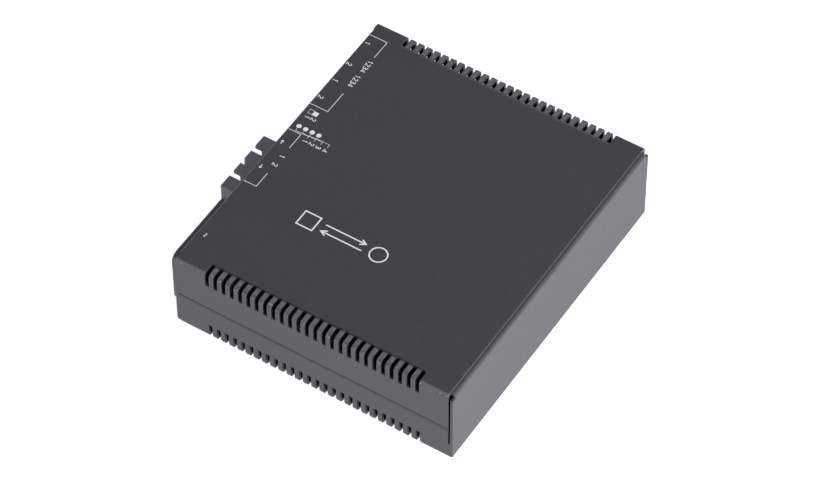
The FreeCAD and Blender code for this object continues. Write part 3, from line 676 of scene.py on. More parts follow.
class Form:
    """A mesh under construction, with its lengths in millimetres."""

    # The turn from which an edge stays hard.
    SHARP = math.radians(35.0)
    # The most of a box's thinnest side that a rounded edge takes.
    ROUNDEST = 0.49

    def __init__(self) -> None:
        """Starts an empty mesh."""
        self.mesh = bmesh.new()

    def add(self, points: Line, faces: Iterable[Sequence[int]]) -> list:
        """Adds points and the faces between them.

        Args:
            points: the corners.
            faces: for each face, the places of its corners in points.

        Returns:
            The new vertices.
        """
        corners = [self.mesh.verts.new(point) for point in points]
        for face in faces:
            self.mesh.faces.new([corners[place] for place in face])
        return corners

    def sweep(self, rings: Sequence[Line], looped: bool = False) -> list:
        """Joins rings of points with faces.

        Args:
            rings: rows of points, each as long as the others.
            looped: whether the last ring joins the first, or both are filled.

        Returns:
            The new vertices.
        """
        width, count = len(rings[0]), len(rings)
        faces = []
        for row in range(count if looped else count - 1):
            here, there = row * width, (row + 1) % count * width
            for place, after in ((n, (n + 1) % width) for n in range(width)):
                faces.append((here + place, here + after, there + after, there + place))
        if not looped:
            faces += [tuple(reversed(range(width))),
                      tuple(range((count - 1) * width, count * width))]
        return self.add([point for ring in rings for point in ring], faces)

    def lathe(self, profile: Sequence[Pair], foot: Spot, axis: str = "z", sides: int = 32,
              looped: bool = False) -> list:
        """Turns a profile round an axis.

        Args:
            profile: the radius and the height of each point.
            foot: where the height is nought.
            axis: the axis that the height runs along, "y" or "z".
            sides: how many steps there are in a turn.
            looped: whether the profile's end joins its start.

        Returns:
            The new vertices.
        """
        rings = []
        for radius, height in profile:
            row = [(*spot, height) for spot in circle((0, 0), radius, sides)]
            if axis == "y":
                row = [(x, z, -y) for x, y, z in row]
            rings.append([Vector(point) + Vector(foot) for point in row])
        return self.sweep(rings, looped)

    def block(self, low: Spot, high: Spot, round_off: float, steps: int) -> list:
        """Adds a box with rounded edges.

        Args:
            low: its lowest corner.
            high: its highest corner.
            round_off: radius of its edges.
            steps: how many faces there are across an edge.

        Returns:
            The vertices of the box.
        """
        middle, size = (Vector(low) + Vector(high)) / 2, Vector(high) - Vector(low)
        place = Matrix.Translation(middle) @ Matrix.Diagonal((*size, 1.0))
        made = bmesh.ops.create_cube(self.mesh, size=1.0, matrix=place)["verts"]
        edges = list(dict.fromkeys(edge for corner in made for edge in corner.link_edges))
        radius = min(round_off, self.ROUNDEST * min(size))
        return bmesh.ops.bevel(self.mesh, geom=edges, offset=radius, segments=steps,
                               affect="EDGES", profile=0.5, material=-1)["verts"]

    @staticmethod
    def _headings(path: Line) -> list[tuple[Vector, Vector]]:
        """Finds which way a path runs at each of its points.

        Args:
            path: the points.

        Returns:
            Each point, and the way there as an arrow of length 1.
        """
        line = [Vector(point) for point in path]
        spans = zip([line[0], *line], [*line[1:], line[-1]])
        return [(point, (after - before).normalized())
                for point, (before, after) in zip(line, spans)]

    def tube(self, path: Line, radius: float, sides: int = 8) -> list:
        """Runs a round wire along a path.

        Args:
            path: the points of its middle line.
            radius: radius of the wire.
            sides: how many sides its section has.

        Returns:
            The new vertices.
        """
        headings = self._headings(path)
        rings, side = [], headings[0][1].orthogonal()
        for point, way in headings:
            side = (side - way * side.dot(way)).normalized()
            up = way.cross(side)
            rings.append([point + across * side + rise * up
                          for across, rise in circle((0, 0), radius, sides)])
        return self.sweep(rings)

    def strip(self, path: Line, across: Spot, gauge: float) -> list:
        """Runs a flat strip along a path.

        Args:
            path: the points of its middle line.
            across: half of its width, as an arrow.
            gauge: how thick it is.

        Returns:
            The new vertices.
        """
        half, rings = Vector(across), []
        for point, way in self._headings(path):
            lift = way.cross(half).normalized() * gauge / 2
            rings.append([point - half - lift, point + half - lift, point + half + lift,
                          point - half + lift])
        return self.sweep(rings)

    def bare(self, name: str) -> bpy.types.Object:
        """Makes a plain object of the mesh, and lets the mesh under construction go.

        Args:
            name: the object's name.

        Returns:
            The new object.
        """
        data = bpy.data.meshes.new(name)
        self.mesh.to_mesh(data)
        self.mesh.free()
        made = bpy.data.objects.new(name, data)
        bpy.context.scene.collection.objects.link(made)
        return made

    def finish(self, name: str, shop: "Workshop", finish: str, stands_for: Sequence[str] = (),
               body: Body = Body.CASE) -> bpy.types.Object:
        """Makes the object, dresses it, and lets it ride.

        Args:
            name: the object's name.
            shop: the workshop that keeps the materials.
            finish: name of its finish.
            stands_for: nodes of the frame that it replaces.
            body: the body that it rides on.

        Returns:
            The new object.
        """
        for edge in self.mesh.edges:
            turn = edge.calc_face_angle(math.pi) if len(edge.link_faces) == 2 else math.pi
            edge.smooth = turn < self.SHARP
        for face in self.mesh.faces:
            face.smooth = True
        bmesh.ops.recalc_face_normals(self.mesh, faces=self.mesh.faces)
        bmesh.ops.scale(self.mesh, vec=(MM, MM, MM), verts=self.mesh.verts)
        made = self.bare(name)
        made.data.materials.append(shop.materials[finish])
        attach(made, body.value)
        if stands_for:
            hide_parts(*stands_for)
        LOG.info("built %s: %d faces", name, len(made.data.polygons))
        return made


class Workshop:
    """Keeps the frame and the finishes, and makes each material once."""

    WELD = 0.002 * MM

    def __init__(self, frame: dict, finishes: Sequence[Finish]) -> None:
        """Makes the effects, and then a material for each finish.

        Args:
            finishes: every finish of the object.
        """
        self.frame = frame
        effects = Effects()
        self.materials = {finish.name: finish.make(effects) for finish in finishes}
        self.slots = {finish.name: finish.slot for finish in finishes}

    def dress(self, finish: str, *nodes: str) -> None:
        """Gives nodes of the frame one finish, and reports them.

        Args:
            finish: the finish's name.
            nodes: the nodes' names.
        """
        for node in nodes:
            solid = self.frame["nodes"][node]
            solid.data.materials.clear()
            solid.data.materials.append(self.materials[finish])
            LOG.info("dressed %s in %s", node, finish)

    @staticmethod
    def room(node: str) -> Room:
        """Gives the box of a node."""
        low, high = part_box(node)
        return Room(Vector(low) / MM, Vector(high) / MM)

    def rooms(self, node: str) -> list[Room]:
        """Gives the box of each loose solid in a node, ordered by place.

        Args:
            node: the node's name.

        Returns:
            The boxes.
        """
        mesh = bmesh.new()
        mesh.from_mesh(self.frame["nodes"][node].data)
        bmesh.ops.remove_doubles(mesh, verts=mesh.verts, dist=self.WELD)
        left, found = set(mesh.verts), []
        while left:
            group, edge = set(), [left.pop()]
            while edge:
                corner = edge.pop()
                group.add(corner)
                near = {link.other_vert(corner) for link in corner.link_edges} & left
                left -= near
                edge += near
            spans = list(zip(*(corner.co / MM for corner in group)))
            found.append(Room(Vector([min(span) for span in spans]),
                              Vector([max(span) for span in spans])))
        mesh.free()
        return sorted(found, key=lambda room: tuple(round(part, 1) for part in room.middle))


# Case ----------------------------------------------------------------------------------------

@dataclass
class CaseShell:
    """Folded cover and tray, and the posts between them."""
    shop: Workshop

    def build(self) -> None:
        """Coats both sheets and plates the posts."""
        self.shop.dress("powder coat, cover", "top_cover")
        self.shop.dress("powder coat, tray", "chassis_tray")
        self.shop.dress("bright zinc", "cover_posts", "signal_board_spacers",
                        "supply_board_spacers")


class Pen:
    """Draws flat ink on the cover: lines, dots and plain numbers."""

    STROKES = {
        "0": [[(0.3, 0), (0.08, 0.12), (0, 0.5), (0.08, 0.88), (0.3, 1), (0.52, 0.88),
               (0.6, 0.5), (0.52, 0.12), (0.3, 0)]],
        "1": [[(0.12, 0.78), (0.36, 1), (0.36, 0)]],
        "2": [[(0.03, 0.78), (0.14, 0.95), (0.32, 1), (0.5, 0.93), (0.56, 0.72), (0.46, 0.5),
               (0, 0), (0.6, 0)]],
        "3": [[(0.03, 0.9), (0.28, 1), (0.52, 0.88), (0.5, 0.64), (0.22, 0.54), (0.54, 0.44),
               (0.57, 0.16), (0.3, 0), (0.02, 0.1)]],
        "4": [[(0.46, 0), (0.46, 1), (0, 0.32), (0.62, 0.32)]],
        "~": [[(0, 0.42), (0.12, 0.6), (0.28, 0.6), (0.44, 0.42), (0.6, 0.42), (0.72, 0.6)]],
        ">": [[(0, 0.5), (0.9, 0.5)], [(0.58, 0.8), (0.92, 0.5), (0.58, 0.2)]],
        "<": [[(0.9, 0.5), (0, 0.5)], [(0.32, 0.8), (-0.02, 0.5), (0.32, 0.2)]],
    }
    DOT_SIDES = 28
    # Ends of a line that are nearer than this meet.
    TOUCH = 1e-6
    # A mitred corner reaches at most half the line's width over this.
    SHARPEST = 0.5

    def __init__(self, level: float) -> None:
        """Starts a print whose top lies at a level."""
        self.form = Form()
        self.level = level

    def line(self, path: Sequence[Pair], width: float) -> None:
        """Draws one line with mitred corners.

        Args:
            path: its points across and along the cover.
            width: how wide it is.
        """
        points = [Vector(point) for point in path]
        closed = (points[0] - points[-1]).length < self.TOUCH
        rails = []
        for place, point in enumerate(points):
            before = points[place - 1] if place else (points[-2] if closed else point)
            last = place + 1 == len(points)
            after = (points[1] if closed else point) if last else points[place + 1]
            ways = [way.normalized() for way in (point - before, after - point) if way.length]
            sides = [Vector((-way.y, way.x)) for way in ways]
            side = sum(sides, Vector((0, 0))).normalized()
            reach = width / 2 / max(self.SHARPEST, side.dot(sides[0]))
            rails += [(*(point + side * reach), self.level), (*(point - side * reach), self.level)]
        self.form.add(rails, [(2 * n, 2 * n + 1, 2 * n + 3, 2 * n + 2)
                              for n in range(len(points) - 1)])

    def dot(self, x: float, y: float, radius: float) -> None:
        """Draws one round dot."""
        rim = circle((x, y), radius, self.DOT_SIDES)
        self.form.add([(*spot, self.level) for spot in rim], [range(self.DOT_SIDES)])

    @staticmethod
    def corners(x: Pair, y: Pair) -> list[Pair]:
        """Gives the four corners of a box."""
        return [(x[0], y[0]), (x[1], y[0]), (x[1], y[1]), (x[0], y[1])]

    def box(self, x: Pair, y: Pair, width: float) -> None:
        """Draws the outline of a box."""
        self.line([*self.corners(x, y), (x[0], y[0])], width)

    def patch(self, x: Pair, y: Pair) -> None:
        """Draws a filled box."""
        self.form.add([(*spot, self.level) for spot in self.corners(x, y)], [range(4)])

    def marks(self, text: str, x: float, y: float, height: float, width: float,
              pitch: float = 0.86) -> None:
        """Draws a row of plain numbers or arrows.

        Args:
            text: what the row says, from the keys of STROKES and blanks.
            x: where the row starts across the cover.
            y: where it starts along the cover.
            height: how tall the marks are.
            width: how wide their lines are.
            pitch: distance between marks, as a share of their height.
        """
        for place, mark in enumerate(text):
            for stroke in self.STROKES.get(mark, ()):
                self.line([(x + (across + place * pitch) * height, y + up * height)
                           for across, up in stroke], width)


@dataclass
class LidPrint:
    """Pale print on the cover: port brackets, light marks and plain symbols."""
    shop: Workshop
    # Thickness of the film, widths of its lines and height of its letters.
    film: float = 0.01
    thin: float = 0.23
    hair: float = 0.14
    stroke: float = 0.27
    bold: float = 0.5
    letter: float = 1.75
    # Places across and along the cover, from its middle.
    front: float = -47.25
    # A bracket is its left side, the two ends of its gap, its right side and its bar.
    jack_bracket: tuple[float, ...] = (-54.1, -46.2, -27.3, -17.85, -40.46)
    fibre_bracket: tuple[float, ...] = (-4.9, 2.0, 14.9, 21.4, -42.38)
    jack_words: float = -44.2
    jack_digits: tuple[float, ...] = (-51.0, -39.8, -31.4, -22.6)
    jack_row: float = -46.8
    fibre_words: float = 5.8
    fibre_pitch: float = 1.2
    fibre_arrows: tuple[float, ...] = (0.4, 12.6)
    fibre_row: float = -46.75
    wave: Point = (46.3, -45.9, 2.3)
    switch_box: tuple[Pair, Pair] = ((-15.85, -14.0), (-45.8, -44.1))
    switch_patch: tuple[Pair, Pair] = ((-15.7, -13.9), (-44.0, -42.3))
    switch_digit: float = -12.9
    switch_rows: Pair = (-45.8, -43.4)
    dot_at: float = -7.6
    dot_radius: float = 0.88
    dots: tuple[float, ...] = (-44.94, -42.34, -39.74, -37.15)
    leader: Pair = (-6.5, -4.5)
    leader_bar: float = -5.4
    leader_step: float = 0.22
    leader_run: float = 5.2
    dot_digit: float = -3.7
    sign: Pair = (24.4, -23.0)
    sign_half: float = 3.0
    sign_ends: Pair = (8.6, 24.0)
    sign_gap: float = 1.5
    sign_barb: Pair = (1.1, 2.0)
    sign_ring: float = 29.6

    def build(self) -> None:
        """Draws everything as one film of ink."""
        pen = Pen(self.shop.room("top_cover").high.z + self.film)
        for left, gap, rest, right, bar in (self.jack_bracket, self.fibre_bracket):
            pen.line([(left, self.front), (left, bar), (gap, bar)], self.thin)
            pen.line([(rest, bar), (right, bar), (right, self.front)], self.thin)
        self._ports(pen)
        self._lights(pen)
        self._sign(pen)
        pen.form.finish("cover_print", self.shop, "lid ink")

    def _ports(self, pen: Pen) -> None:
        """Numbers the ports and marks the mains inlet.

        Args:
            pen: the pen that draws the film.
        """
        size, half = (self.letter, self.stroke), self.letter / 2
        pen.marks("1234 1234", self.jack_words, self.jack_bracket[4] - half, *size)
        pen.marks("1 2", self.fibre_words, self.fibre_bracket[4] - half, *size, self.fibre_pitch)
        for mark, x in zip("1212", self.jack_digits):
            pen.marks(mark, x, self.jack_row, *size)
        for mark, x in zip("<>", self.fibre_arrows):
            pen.marks(mark, x, self.fibre_row, *size)
        pen.marks("~", *self.wave, self.stroke)

    def _lights(self, pen: Pen) -> None:
        """Draws the switch's symbol, the four dots and their leaders.

        Args:
            pen: the pen that draws the film.
        """
        pen.box(*self.switch_box, self.hair)
        pen.patch(*self.switch_patch)
        for mark, y in zip("12", self.switch_rows):
            pen.marks(mark, self.switch_digit, y, self.letter, self.stroke)
        start, stop = self.leader
        for number, y in enumerate(self.dots):
            pen.dot(self.dot_at, y, self.dot_radius)
            bar, end = self.leader_bar - self.leader_step * number, y + self.leader_run
            pen.line([(start, y), (bar, y), (bar, end), (stop, end)], self.hair)
            pen.marks(str(number + 1), self.dot_digit, end - self.letter / 2, self.letter,
                      self.stroke)

    def _sign(self, pen: Pen) -> None:
        """Draws a plain two-way sign: a box, two arrows and a ring.

        Args:
            pen: the pen that draws the film.
        """
        (x, y), (barb, back) = self.sign, self.sign_barb
        half = self.sign_half
        pen.box((x - half, x + half), (y, y + 2 * half), self.bold)
        near, far = self.sign_ends
        for side, start, tip, way in ((-1, near, far, -1), (1, far, near, 1)):
            middle, start, tip = x + side * self.sign_gap, y + start, y + tip
            pen.line([(middle, start), (middle, tip)], self.bold)
            pen.line([(middle - barb, tip + way * back), (middle, tip),
                      (middle + barb, tip + way * back)], self.bold)
        pen.line(arc((x, y + self.sign_ring), half, 0, 360, 40), self.bold)


@dataclass
class RubberFeet:
    """Four stick-on feet with rounded rims and a ring moulded in the sole."""
    shop: Workshop
    count: int = 4
    rim: float = 0.7
    ring: float = 3.2
    dimple: float = 0.25
    slope: float = 0.5

    def build(self) -> None:
        """Builds each foot in place of its plain solid."""
        for number in range(1, self.count + 1):
            node = f"rubber_foot_{number}"
            room = self.shop.room(node)
            radius, height = room.size.x / 2, room.size.z
            form = Form()
            form.lathe([(HUB, self.dimple), (self.ring - self.slope, self.dimple),
                        (self.ring, 0.0), *arc((radius - self.rim, self.rim), self.rim, -90, 0, 5),
                        (radius, height), (HUB, height)],
                       (room.middle.x, room.middle.y, room.low.z), sides=48)
            form.finish(f"foot_pad_{number}", self.shop, "foot rubber", [node])


# Fixings -------------------------------------------------------------------------------------

@dataclass
class PanScrew:
    """Pan-head screw with a cross recess and a rolled thread."""
    head: float = 2.75
    rise: float = 1.6
    skirt: float = 0.5
    chamfer: float = 0.15
    dome: tuple[float, ...] = (22.0, 42.0, 60.0, 76.0, 88.0)
    shank: float = 1.5
    root: float = 1.18
    pitch: float = 0.5
    thread_sides: int = 16
    tip: tuple[Pair, ...] = ((0.8, 0.0), (1.0, 0.3), (1.0, 0.6))
    sides: int = 24
    wing: float = 1.35
    slit: float = 0.36
    recess: float = 1.0
    clear: float = 1.0
    soft: float = 0.08

    def cut_head(self) -> bpy.types.Mesh:
        """Makes the head with its recess, standing on nought with its crown up.

        Returns:
            The mesh of the head, in millimetres.
        """
        form, cross = Form(), Form()
        crown = [math.radians(turn) for turn in self.dome]
        form.lathe([(HUB, 0.0), (self.head - self.chamfer, 0.0), (self.head, self.chamfer),
                    (self.head, self.skirt),
                    *[(self.head * math.cos(turn),
                       self.skirt + (self.rise - self.skirt) * math.sin(turn)) for turn in crown]],
                   (0, 0, 0), sides=self.sides)
        low, high = self.rise - self.recess, self.rise + self.clear
        for x, y in ((self.wing, self.slit), (self.slit, self.wing)):
            cross.block((-x, -y, low), (x, y, high), self.soft, 1)
        head, cutter = form.bare("head"), cross.bare("cutter")
        cut = head.modifiers.new("recess", "BOOLEAN")
        cut.object, cut.operation, cut.solver, cut.use_self = cutter, "DIFFERENCE", "EXACT", True
        graph = bpy.context.evaluated_depsgraph_get()
        mesh = bpy.data.meshes.new_from_object(head.evaluated_get(graph))
        for item in (head, cutter):
            bpy.data.objects.remove(item)
        return mesh

    def thread(self, form: Form, length: float) -> list:
        """Adds a threaded shank that runs down from nought.

        Args:
            form: the mesh to add it to.
            length: how long the shank is.

        Returns:
            The new vertices.
        """
        sides = self.thread_sides
        steps = int(length / self.pitch * sides)
        points = []
        for step in range(steps + sides + 1):
            turn = math.tau * step / sides
            for radius, lead in ((self.shank, 0.5), (self.root, 0.0)):
                down = min(length, max(0.0, self.pitch * (step / sides - lead)))
                points.append((radius * math.cos(turn), radius * math.sin(turn), -down))
        faces = [(2 * n, 2 * n + 1, 2 * n + 3, 2 * n + 2) for n in range(steps)]
        faces += [(2 * n + 1, 2 * (n + sides), 2 * (n + sides) + 2, 2 * n + 3)
                  for n in range(steps)]
        end = [(self.root * share, rise - length) for share, rise in self.tip]
        return form.add(points, faces) + form.lathe(
            [(HUB, -length), *end, (HUB, end[-1][1])], (0, 0, 0), sides=sides)


@dataclass
class Fixings:
    """Screws under the tray and on both boards."""
    shop: Workshop
    screw: PanScrew = field(default_factory=PanScrew)
    first_turn: float = 25.0
    next_turn: float = 67.0

    def build(self) -> None:
        """Builds each set of screws in place of its plain solids."""
        head = self.screw.cut_head()
        for place, way in (("cover", -1), ("signal_board", 1), ("supply_board", 1)):
            form = Form()
            for number, room in enumerate(self.shop.rooms(f"{place}_screws")):
                self._screw(form, head, room, way, number)
            form.finish(f"{place}_pan_screws", self.shop, "bright zinc", [f"{place}_screws"])

    def _screw(self, form: Form, head: bpy.types.Mesh, room: Room, way: int,
               number: int) -> None:
        """Adds one screw.

        Args:
            form: the mesh to add it to.
            head: the cut head.
            room: the box of the plain screw.
            way: 1 where the head is on top, -1 where it is below.
            number: the screw's place in its set, which turns it.
        """
        rise = self.screw.rise
        seat = room.high.z - rise if way > 0 else room.low.z + rise
        made = self.screw.thread(form, room.size.z - rise)
        first = len(form.mesh.verts)
        form.mesh.from_mesh(head)
        form.mesh.verts.ensure_lookup_table()
        made += list(form.mesh.verts)[first:]
        turn = math.radians(self.first_turn + self.next_turn * number)
        flip = Matrix.Rotation(0.0 if way > 0 else math.pi, 4, "X")
        place = Matrix.Translation((room.middle.x, room.middle.y, seat))
        bmesh.ops.transform(form.mesh, verts=made,
                            matrix=place @ Matrix.Rotation(turn, 4, "Z") @ flip)


# Shapes shared by the connectors and boards --------------------------------------------------

class Lead(Enum):
    """How a chip's legs stand."""
    GULL = "gull wing"
    NONE = "hidden"


@dataclass
class SmallParts:
    """Shapes that small parts share."""
    shop: Workshop
    # Cans: shares are of the radius, and the crimp's place is a share of the height.
    can_fit: float = 0.995
    can_fit_on_base: float = 0.94
    base: float = 1.0
    base_round: float = 0.25
    foot_round: float = 0.4
    crimp: float = 0.16
    crimp_depth: float = 0.3
    crimp_half: float = 0.45
    shoulder: float = 0.5
    sink: float = 0.05
    sink_share: float = 0.82
    top_share: float = 0.74
    top: Pair = (0.12, 0.02)
    # Chips. A leg's points are insets from the chip's box, and shares of its drop.
    leg_margin: float = 0.9
    lift: float = 0.12
    slope: float = 0.18
    mark: float = 0.45
    mark_inset: float = 1.6
    mark_depth: Pair = (0.015, 0.02)
    leg: tuple[Pair, ...] = ((1.2, 0.0), (0.75, 0.0), (0.55, 1.0), (0.05, 1.0))
    leg_foot: float = 0.1
    leg_half: float = 0.16
    leg_gauge: float = 0.14
    leg_end: float = 3.2

    def cans(self, node: str, name: str, base: bool = False) -> None:
        """Builds upright capacitors with a crimp and a scored top.

        Args:
            node: the node that they stand for.
            name: name of the new piece.
            base: whether each stands on a square foot.
        """
        sleeves, tops = Form(), Form()
        for room in self.shop.rooms(node):
            fit = self.can_fit_on_base if base else self.can_fit
            radius = min(room.size.x, room.size.y) / 2 * fit
            height, foot = room.size.z, (room.middle.x, room.middle.y, room.low.z)
            lift = self.base if base else 0.0
            waist, turn = lift + self.crimp * height, self.foot_round
            round_off = arc((radius - self.shoulder, height - self.shoulder - self.sink),
                            self.shoulder, 0, 80, 4)
            sleeves.lathe([(HUB, lift), (radius - turn, lift), (radius, lift + turn),
                           (radius, waist), (radius - self.crimp_depth, waist + self.crimp_half),
                           (radius, waist + 2 * self.crimp_half), *round_off,
                           (radius * self.sink_share, height - self.sink),
                           (HUB, height - self.sink)], foot, sides=40)
            if base:
                sleeves.block(room.low, (room.high.x, room.high.y, room.low.z + lift),
                              self.base_round, 1)
            low, high = (height - depth for depth in self.top)
            rim = radius * self.top_share
            tops.lathe([(HUB, low), (rim, low), (rim, high), (HUB, high)], foot)
        sleeves.finish(name, self.shop, "can sleeve", [node])
        tops.finish(name + "_tops", self.shop, "can top")

    def chips(self, node: str, name: str, lead: Lead, pins: int = 0) -> None:
        """Builds moulded chips with chamfered bodies, a pin mark and legs.

        Args:
            node: the node that they stand for.
            name: name of the new piece.
            lead: how their legs stand.
            pins: legs along each side.
        """
        bodies, legs = Form(), Form()
        for room in self.shop.rooms(node):
            margin = self.leg_margin if lead is Lead.GULL else 0.0
            low = room.low + Vector((margin, margin, self.lift))
            high = room.high - Vector((margin, margin, 0.0))
            middle = (low.z + high.z) / 2
            bodies.sweep([[(x, y, z) for x, y in Pen.corners((low.x + cut, high.x - cut),
                                                             (low.y + cut, high.y - cut))]
                          for cut, z in ((self.slope, low.z), (0.0, middle), (self.slope, high.z))])
            sunk, thick = self.mark_depth
            bodies.lathe([(HUB, 0.0), (self.mark, 0.0), (self.mark, thick), (HUB, thick)],
                         (low.x + self.mark_inset, high.y - self.mark_inset, high.z - sunk),
                         sides=20)
            if lead is Lead.GULL:
                self._legs(legs, room, middle, pins)
        bodies.finish(name, self.shop, "chip resin", [node])
        if lead is Lead.GULL:
            legs.finish(name + "_legs", self.shop, "tinned sheet")
        else:
            legs.mesh.free()

    def _legs(self, form: Form, room: Room, level: float, pins: int) -> None:
        """Bends legs round the four sides of a chip.

        Args:
            form: the mesh to add them to.
            room: the chip's box.
            level: where they leave its body.
            pins: legs along each side.
        """
        drop = room.low.z + self.leg_foot - level
        middle = Vector((room.middle.x, room.middle.y, 0))
        sizes = (room.size.x, room.size.y)
        for way in range(4):
            turn = Matrix.Rotation(math.pi / 2 * way, 3, "Z")
            half, length = sizes[way % 2] / 2, sizes[(way + 1) % 2]
            for pin in range(pins):
                along = (pin - (pins - 1) / 2) * (length - self.leg_end) / (pins - 1)
                path = [Vector((half - inset, along, level + drop * share))
                        for inset, share in self.leg]
                form.strip([turn @ point + middle for point in path],
                           turn @ Vector((0, self.leg_half, 0)), self.leg_gauge)

    def solid(self, node: str, name: str, finish: str, round_off: float) -> None:
        """Builds boxes with rounded edges in place of plain ones.

        Args:
            node: the node that they stand for.
            name: name of the new piece.
            finish: name of their finish.
            round_off: radius of their edges.
        """
        form = Form()
        for room in self.shop.rooms(node):
            form.block(room.low, room.high, round_off, 3)
        form.finish(name, self.shop, finish, [node])


# Connectors ----------------------------------------------------------------------------------

@dataclass
class DataJack:
    """Shielded data jack: tinned shell with spring tabs, insert, bent wires and lenses."""
    shop: Workshop
    parts: SmallParts
    side: str
    wire: float = 0.19
    nose: float = 0.45
    nose_turn: Pair = (270.0, 110.0)
    wire_bends: tuple[float, ...] = (3.0, 4.2, 2.4, 1.6)
    wire_dip: float = 0.1
    lens_round: float = 0.35
    tab_width: float = 2.2
    tab_gauge: float = 0.12
    tab_span: Pair = (1.9, 8.5)
    tab_shares: Pair = (0.28, 0.72)
    tab_rise: float = 1.5
    bow: tuple[Pair, ...] = ((0.0, 0.06), (0.35, 0.2), (0.7, 0.2), (1.0, 0.06))

    def build(self) -> None:
        """Dresses the shell and insert, and builds what they hold."""
        self.shop.dress("tinned sheet", f"{self.side}_jack_shell")
        self.shop.dress("black moulding", f"{self.side}_jack_insert")
        self._wires()
        self.parts.solid(f"{self.side}_jack_lenses", f"{self.side}_light_windows", "lamp lens",
                         self.lens_round)
        self._tabs()

    def _wires(self) -> None:
        """Bends eight gold wires from the back of the mouth, round its front, and up."""
        node = f"{self.side}_jack_wires"
        form = Form()
        run, slope, fall, rest = self.wire_bends
        for room in self.shop.rooms(node):
            x, low, high = room.middle.x, room.low.z + self.wire, room.high.z - self.wire
            front, rear = room.low.y + self.wire, room.high.y
            nose = arc((front + self.nose, low + self.nose), self.nose, *self.nose_turn, 7)
            path = [(rear, low), (front + run, low), *nose, (front + slope, (low + high) / 2),
                    (rear - fall, high - self.wire_dip), (rear - rest, high)]
            form.tube([(x, y, z) for y, z in path], self.wire)
        form.finish(f"{self.side}_contact_wires", self.shop, "gold plate", [node])

    def _tabs(self) -> None:
        """Builds the earthing springs that stand off the shell behind the front wall."""
        shell = self.shop.room(f"{self.side}_jack_shell")
        form = Form()
        start, end = (shell.low.y + reach for reach in self.tab_span)
        bow = [(start + (end - start) * along, off) for along, off in self.bow]
        for share in self.tab_shares:
            x = shell.low.x + shell.size.x * share
            form.strip([(x, y, shell.high.z + off) for y, off in bow],
                       (self.tab_width / 2, 0, 0), self.tab_gauge)
        for x, way in ((shell.low.x, -1), (shell.high.x, 1)):
            form.strip([(x + way * off, y, shell.middle.z + self.tab_rise) for y, off in bow],
                       (0, 0, self.tab_width / 2), self.tab_gauge)
        form.finish(f"{self.side}_earth_springs", self.shop, "tinned sheet")


@dataclass
class ModeSwitch:
    """Slide switch: a dark case, and a pale slider with finger ridges."""
    shop: Workshop
    ridges: int = 4
    ridge_depth: float = 0.3
    ridge_slope: float = 0.2
    shoe_depth: float = 1.9
    shoe_round: float = 0.15
    stem: Pair = (2.4, 3.0)
    overlap: float = 0.2

    def build(self) -> None:
        """Dresses the case and builds the slider that moves in it."""
        self.shop.dress("black moulding", "mode_switch_case")
        room = self.shop.room("mode_switch_slider")
        low, high, face = room.low, room.high, room.low.y
        front = high.y - self.shoe_depth
        form = Form()
        form.block((low.x, front, low.z), high, self.shoe_round, 2)
        inset_x, inset_z = (room.size.x - self.stem[0]) / 2, (room.size.z - self.stem[1]) / 2
        foot, top = low.z + inset_z, high.z - inset_z
        step = (top - foot) / (2 * self.ridges - 1)
        profile = [(front + self.overlap, foot)]
        for ridge in range(self.ridges):
            base = foot + 2 * ridge * step
            profile += [(face + self.ridge_depth, base), (face, base + self.ridge_slope * step),
                        (face, base + (1 - self.ridge_slope) * step),
                        (face + self.ridge_depth, base + step)]
        profile.append((front + self.overlap, top))
        form.sweep([[(x, y, z) for y, z in profile] for x in (low.x + inset_x, high.x - inset_x)])
        form.finish("mode_slider", self.shop, "pale moulding", ["mode_switch_slider"],
                    body=Body.SLIDER)


@dataclass
class StatusLights:
    """Four domed lamps in a black holder."""
    shop: Workshop
    count: int = 4
    barrel: float = 0.79
    dome: tuple[float, ...] = (15.0, 32.0, 50.0, 70.0, 90.0)
    dome_depth: float = 0.8
    seat: float = 5.6
    flange: float = 0.9
    short: float = 0.2

    def build(self) -> None:
        """Dresses the holder and builds each lamp."""
        self.shop.dress("black moulding", "status_light_holder")
        for number in range(1, self.count + 1):
            node = f"status_light_{number}"
            room = self.shop.room(node)
            rim, length = room.size.x / 2, room.size.y
            barrel, seat, end = rim * self.barrel, length - self.seat, length - self.short
            turns = [math.radians(turn) for turn in self.dome]
            dome = [(barrel * math.sin(turn), barrel * (1 - math.cos(turn)) * self.dome_depth)
                    for turn in turns]
            form = Form()
            form.lathe([(HUB, 0.0), *dome, (barrel, seat), (rim, seat), (rim, seat + self.flange),
                        (barrel, seat + self.flange), (barrel, end), (HUB, end)],
                       (room.middle.x, room.low.y, room.middle.z), "y")
            form.finish(f"signal_lamp_{number}", self.shop, "lamp lens", [node])


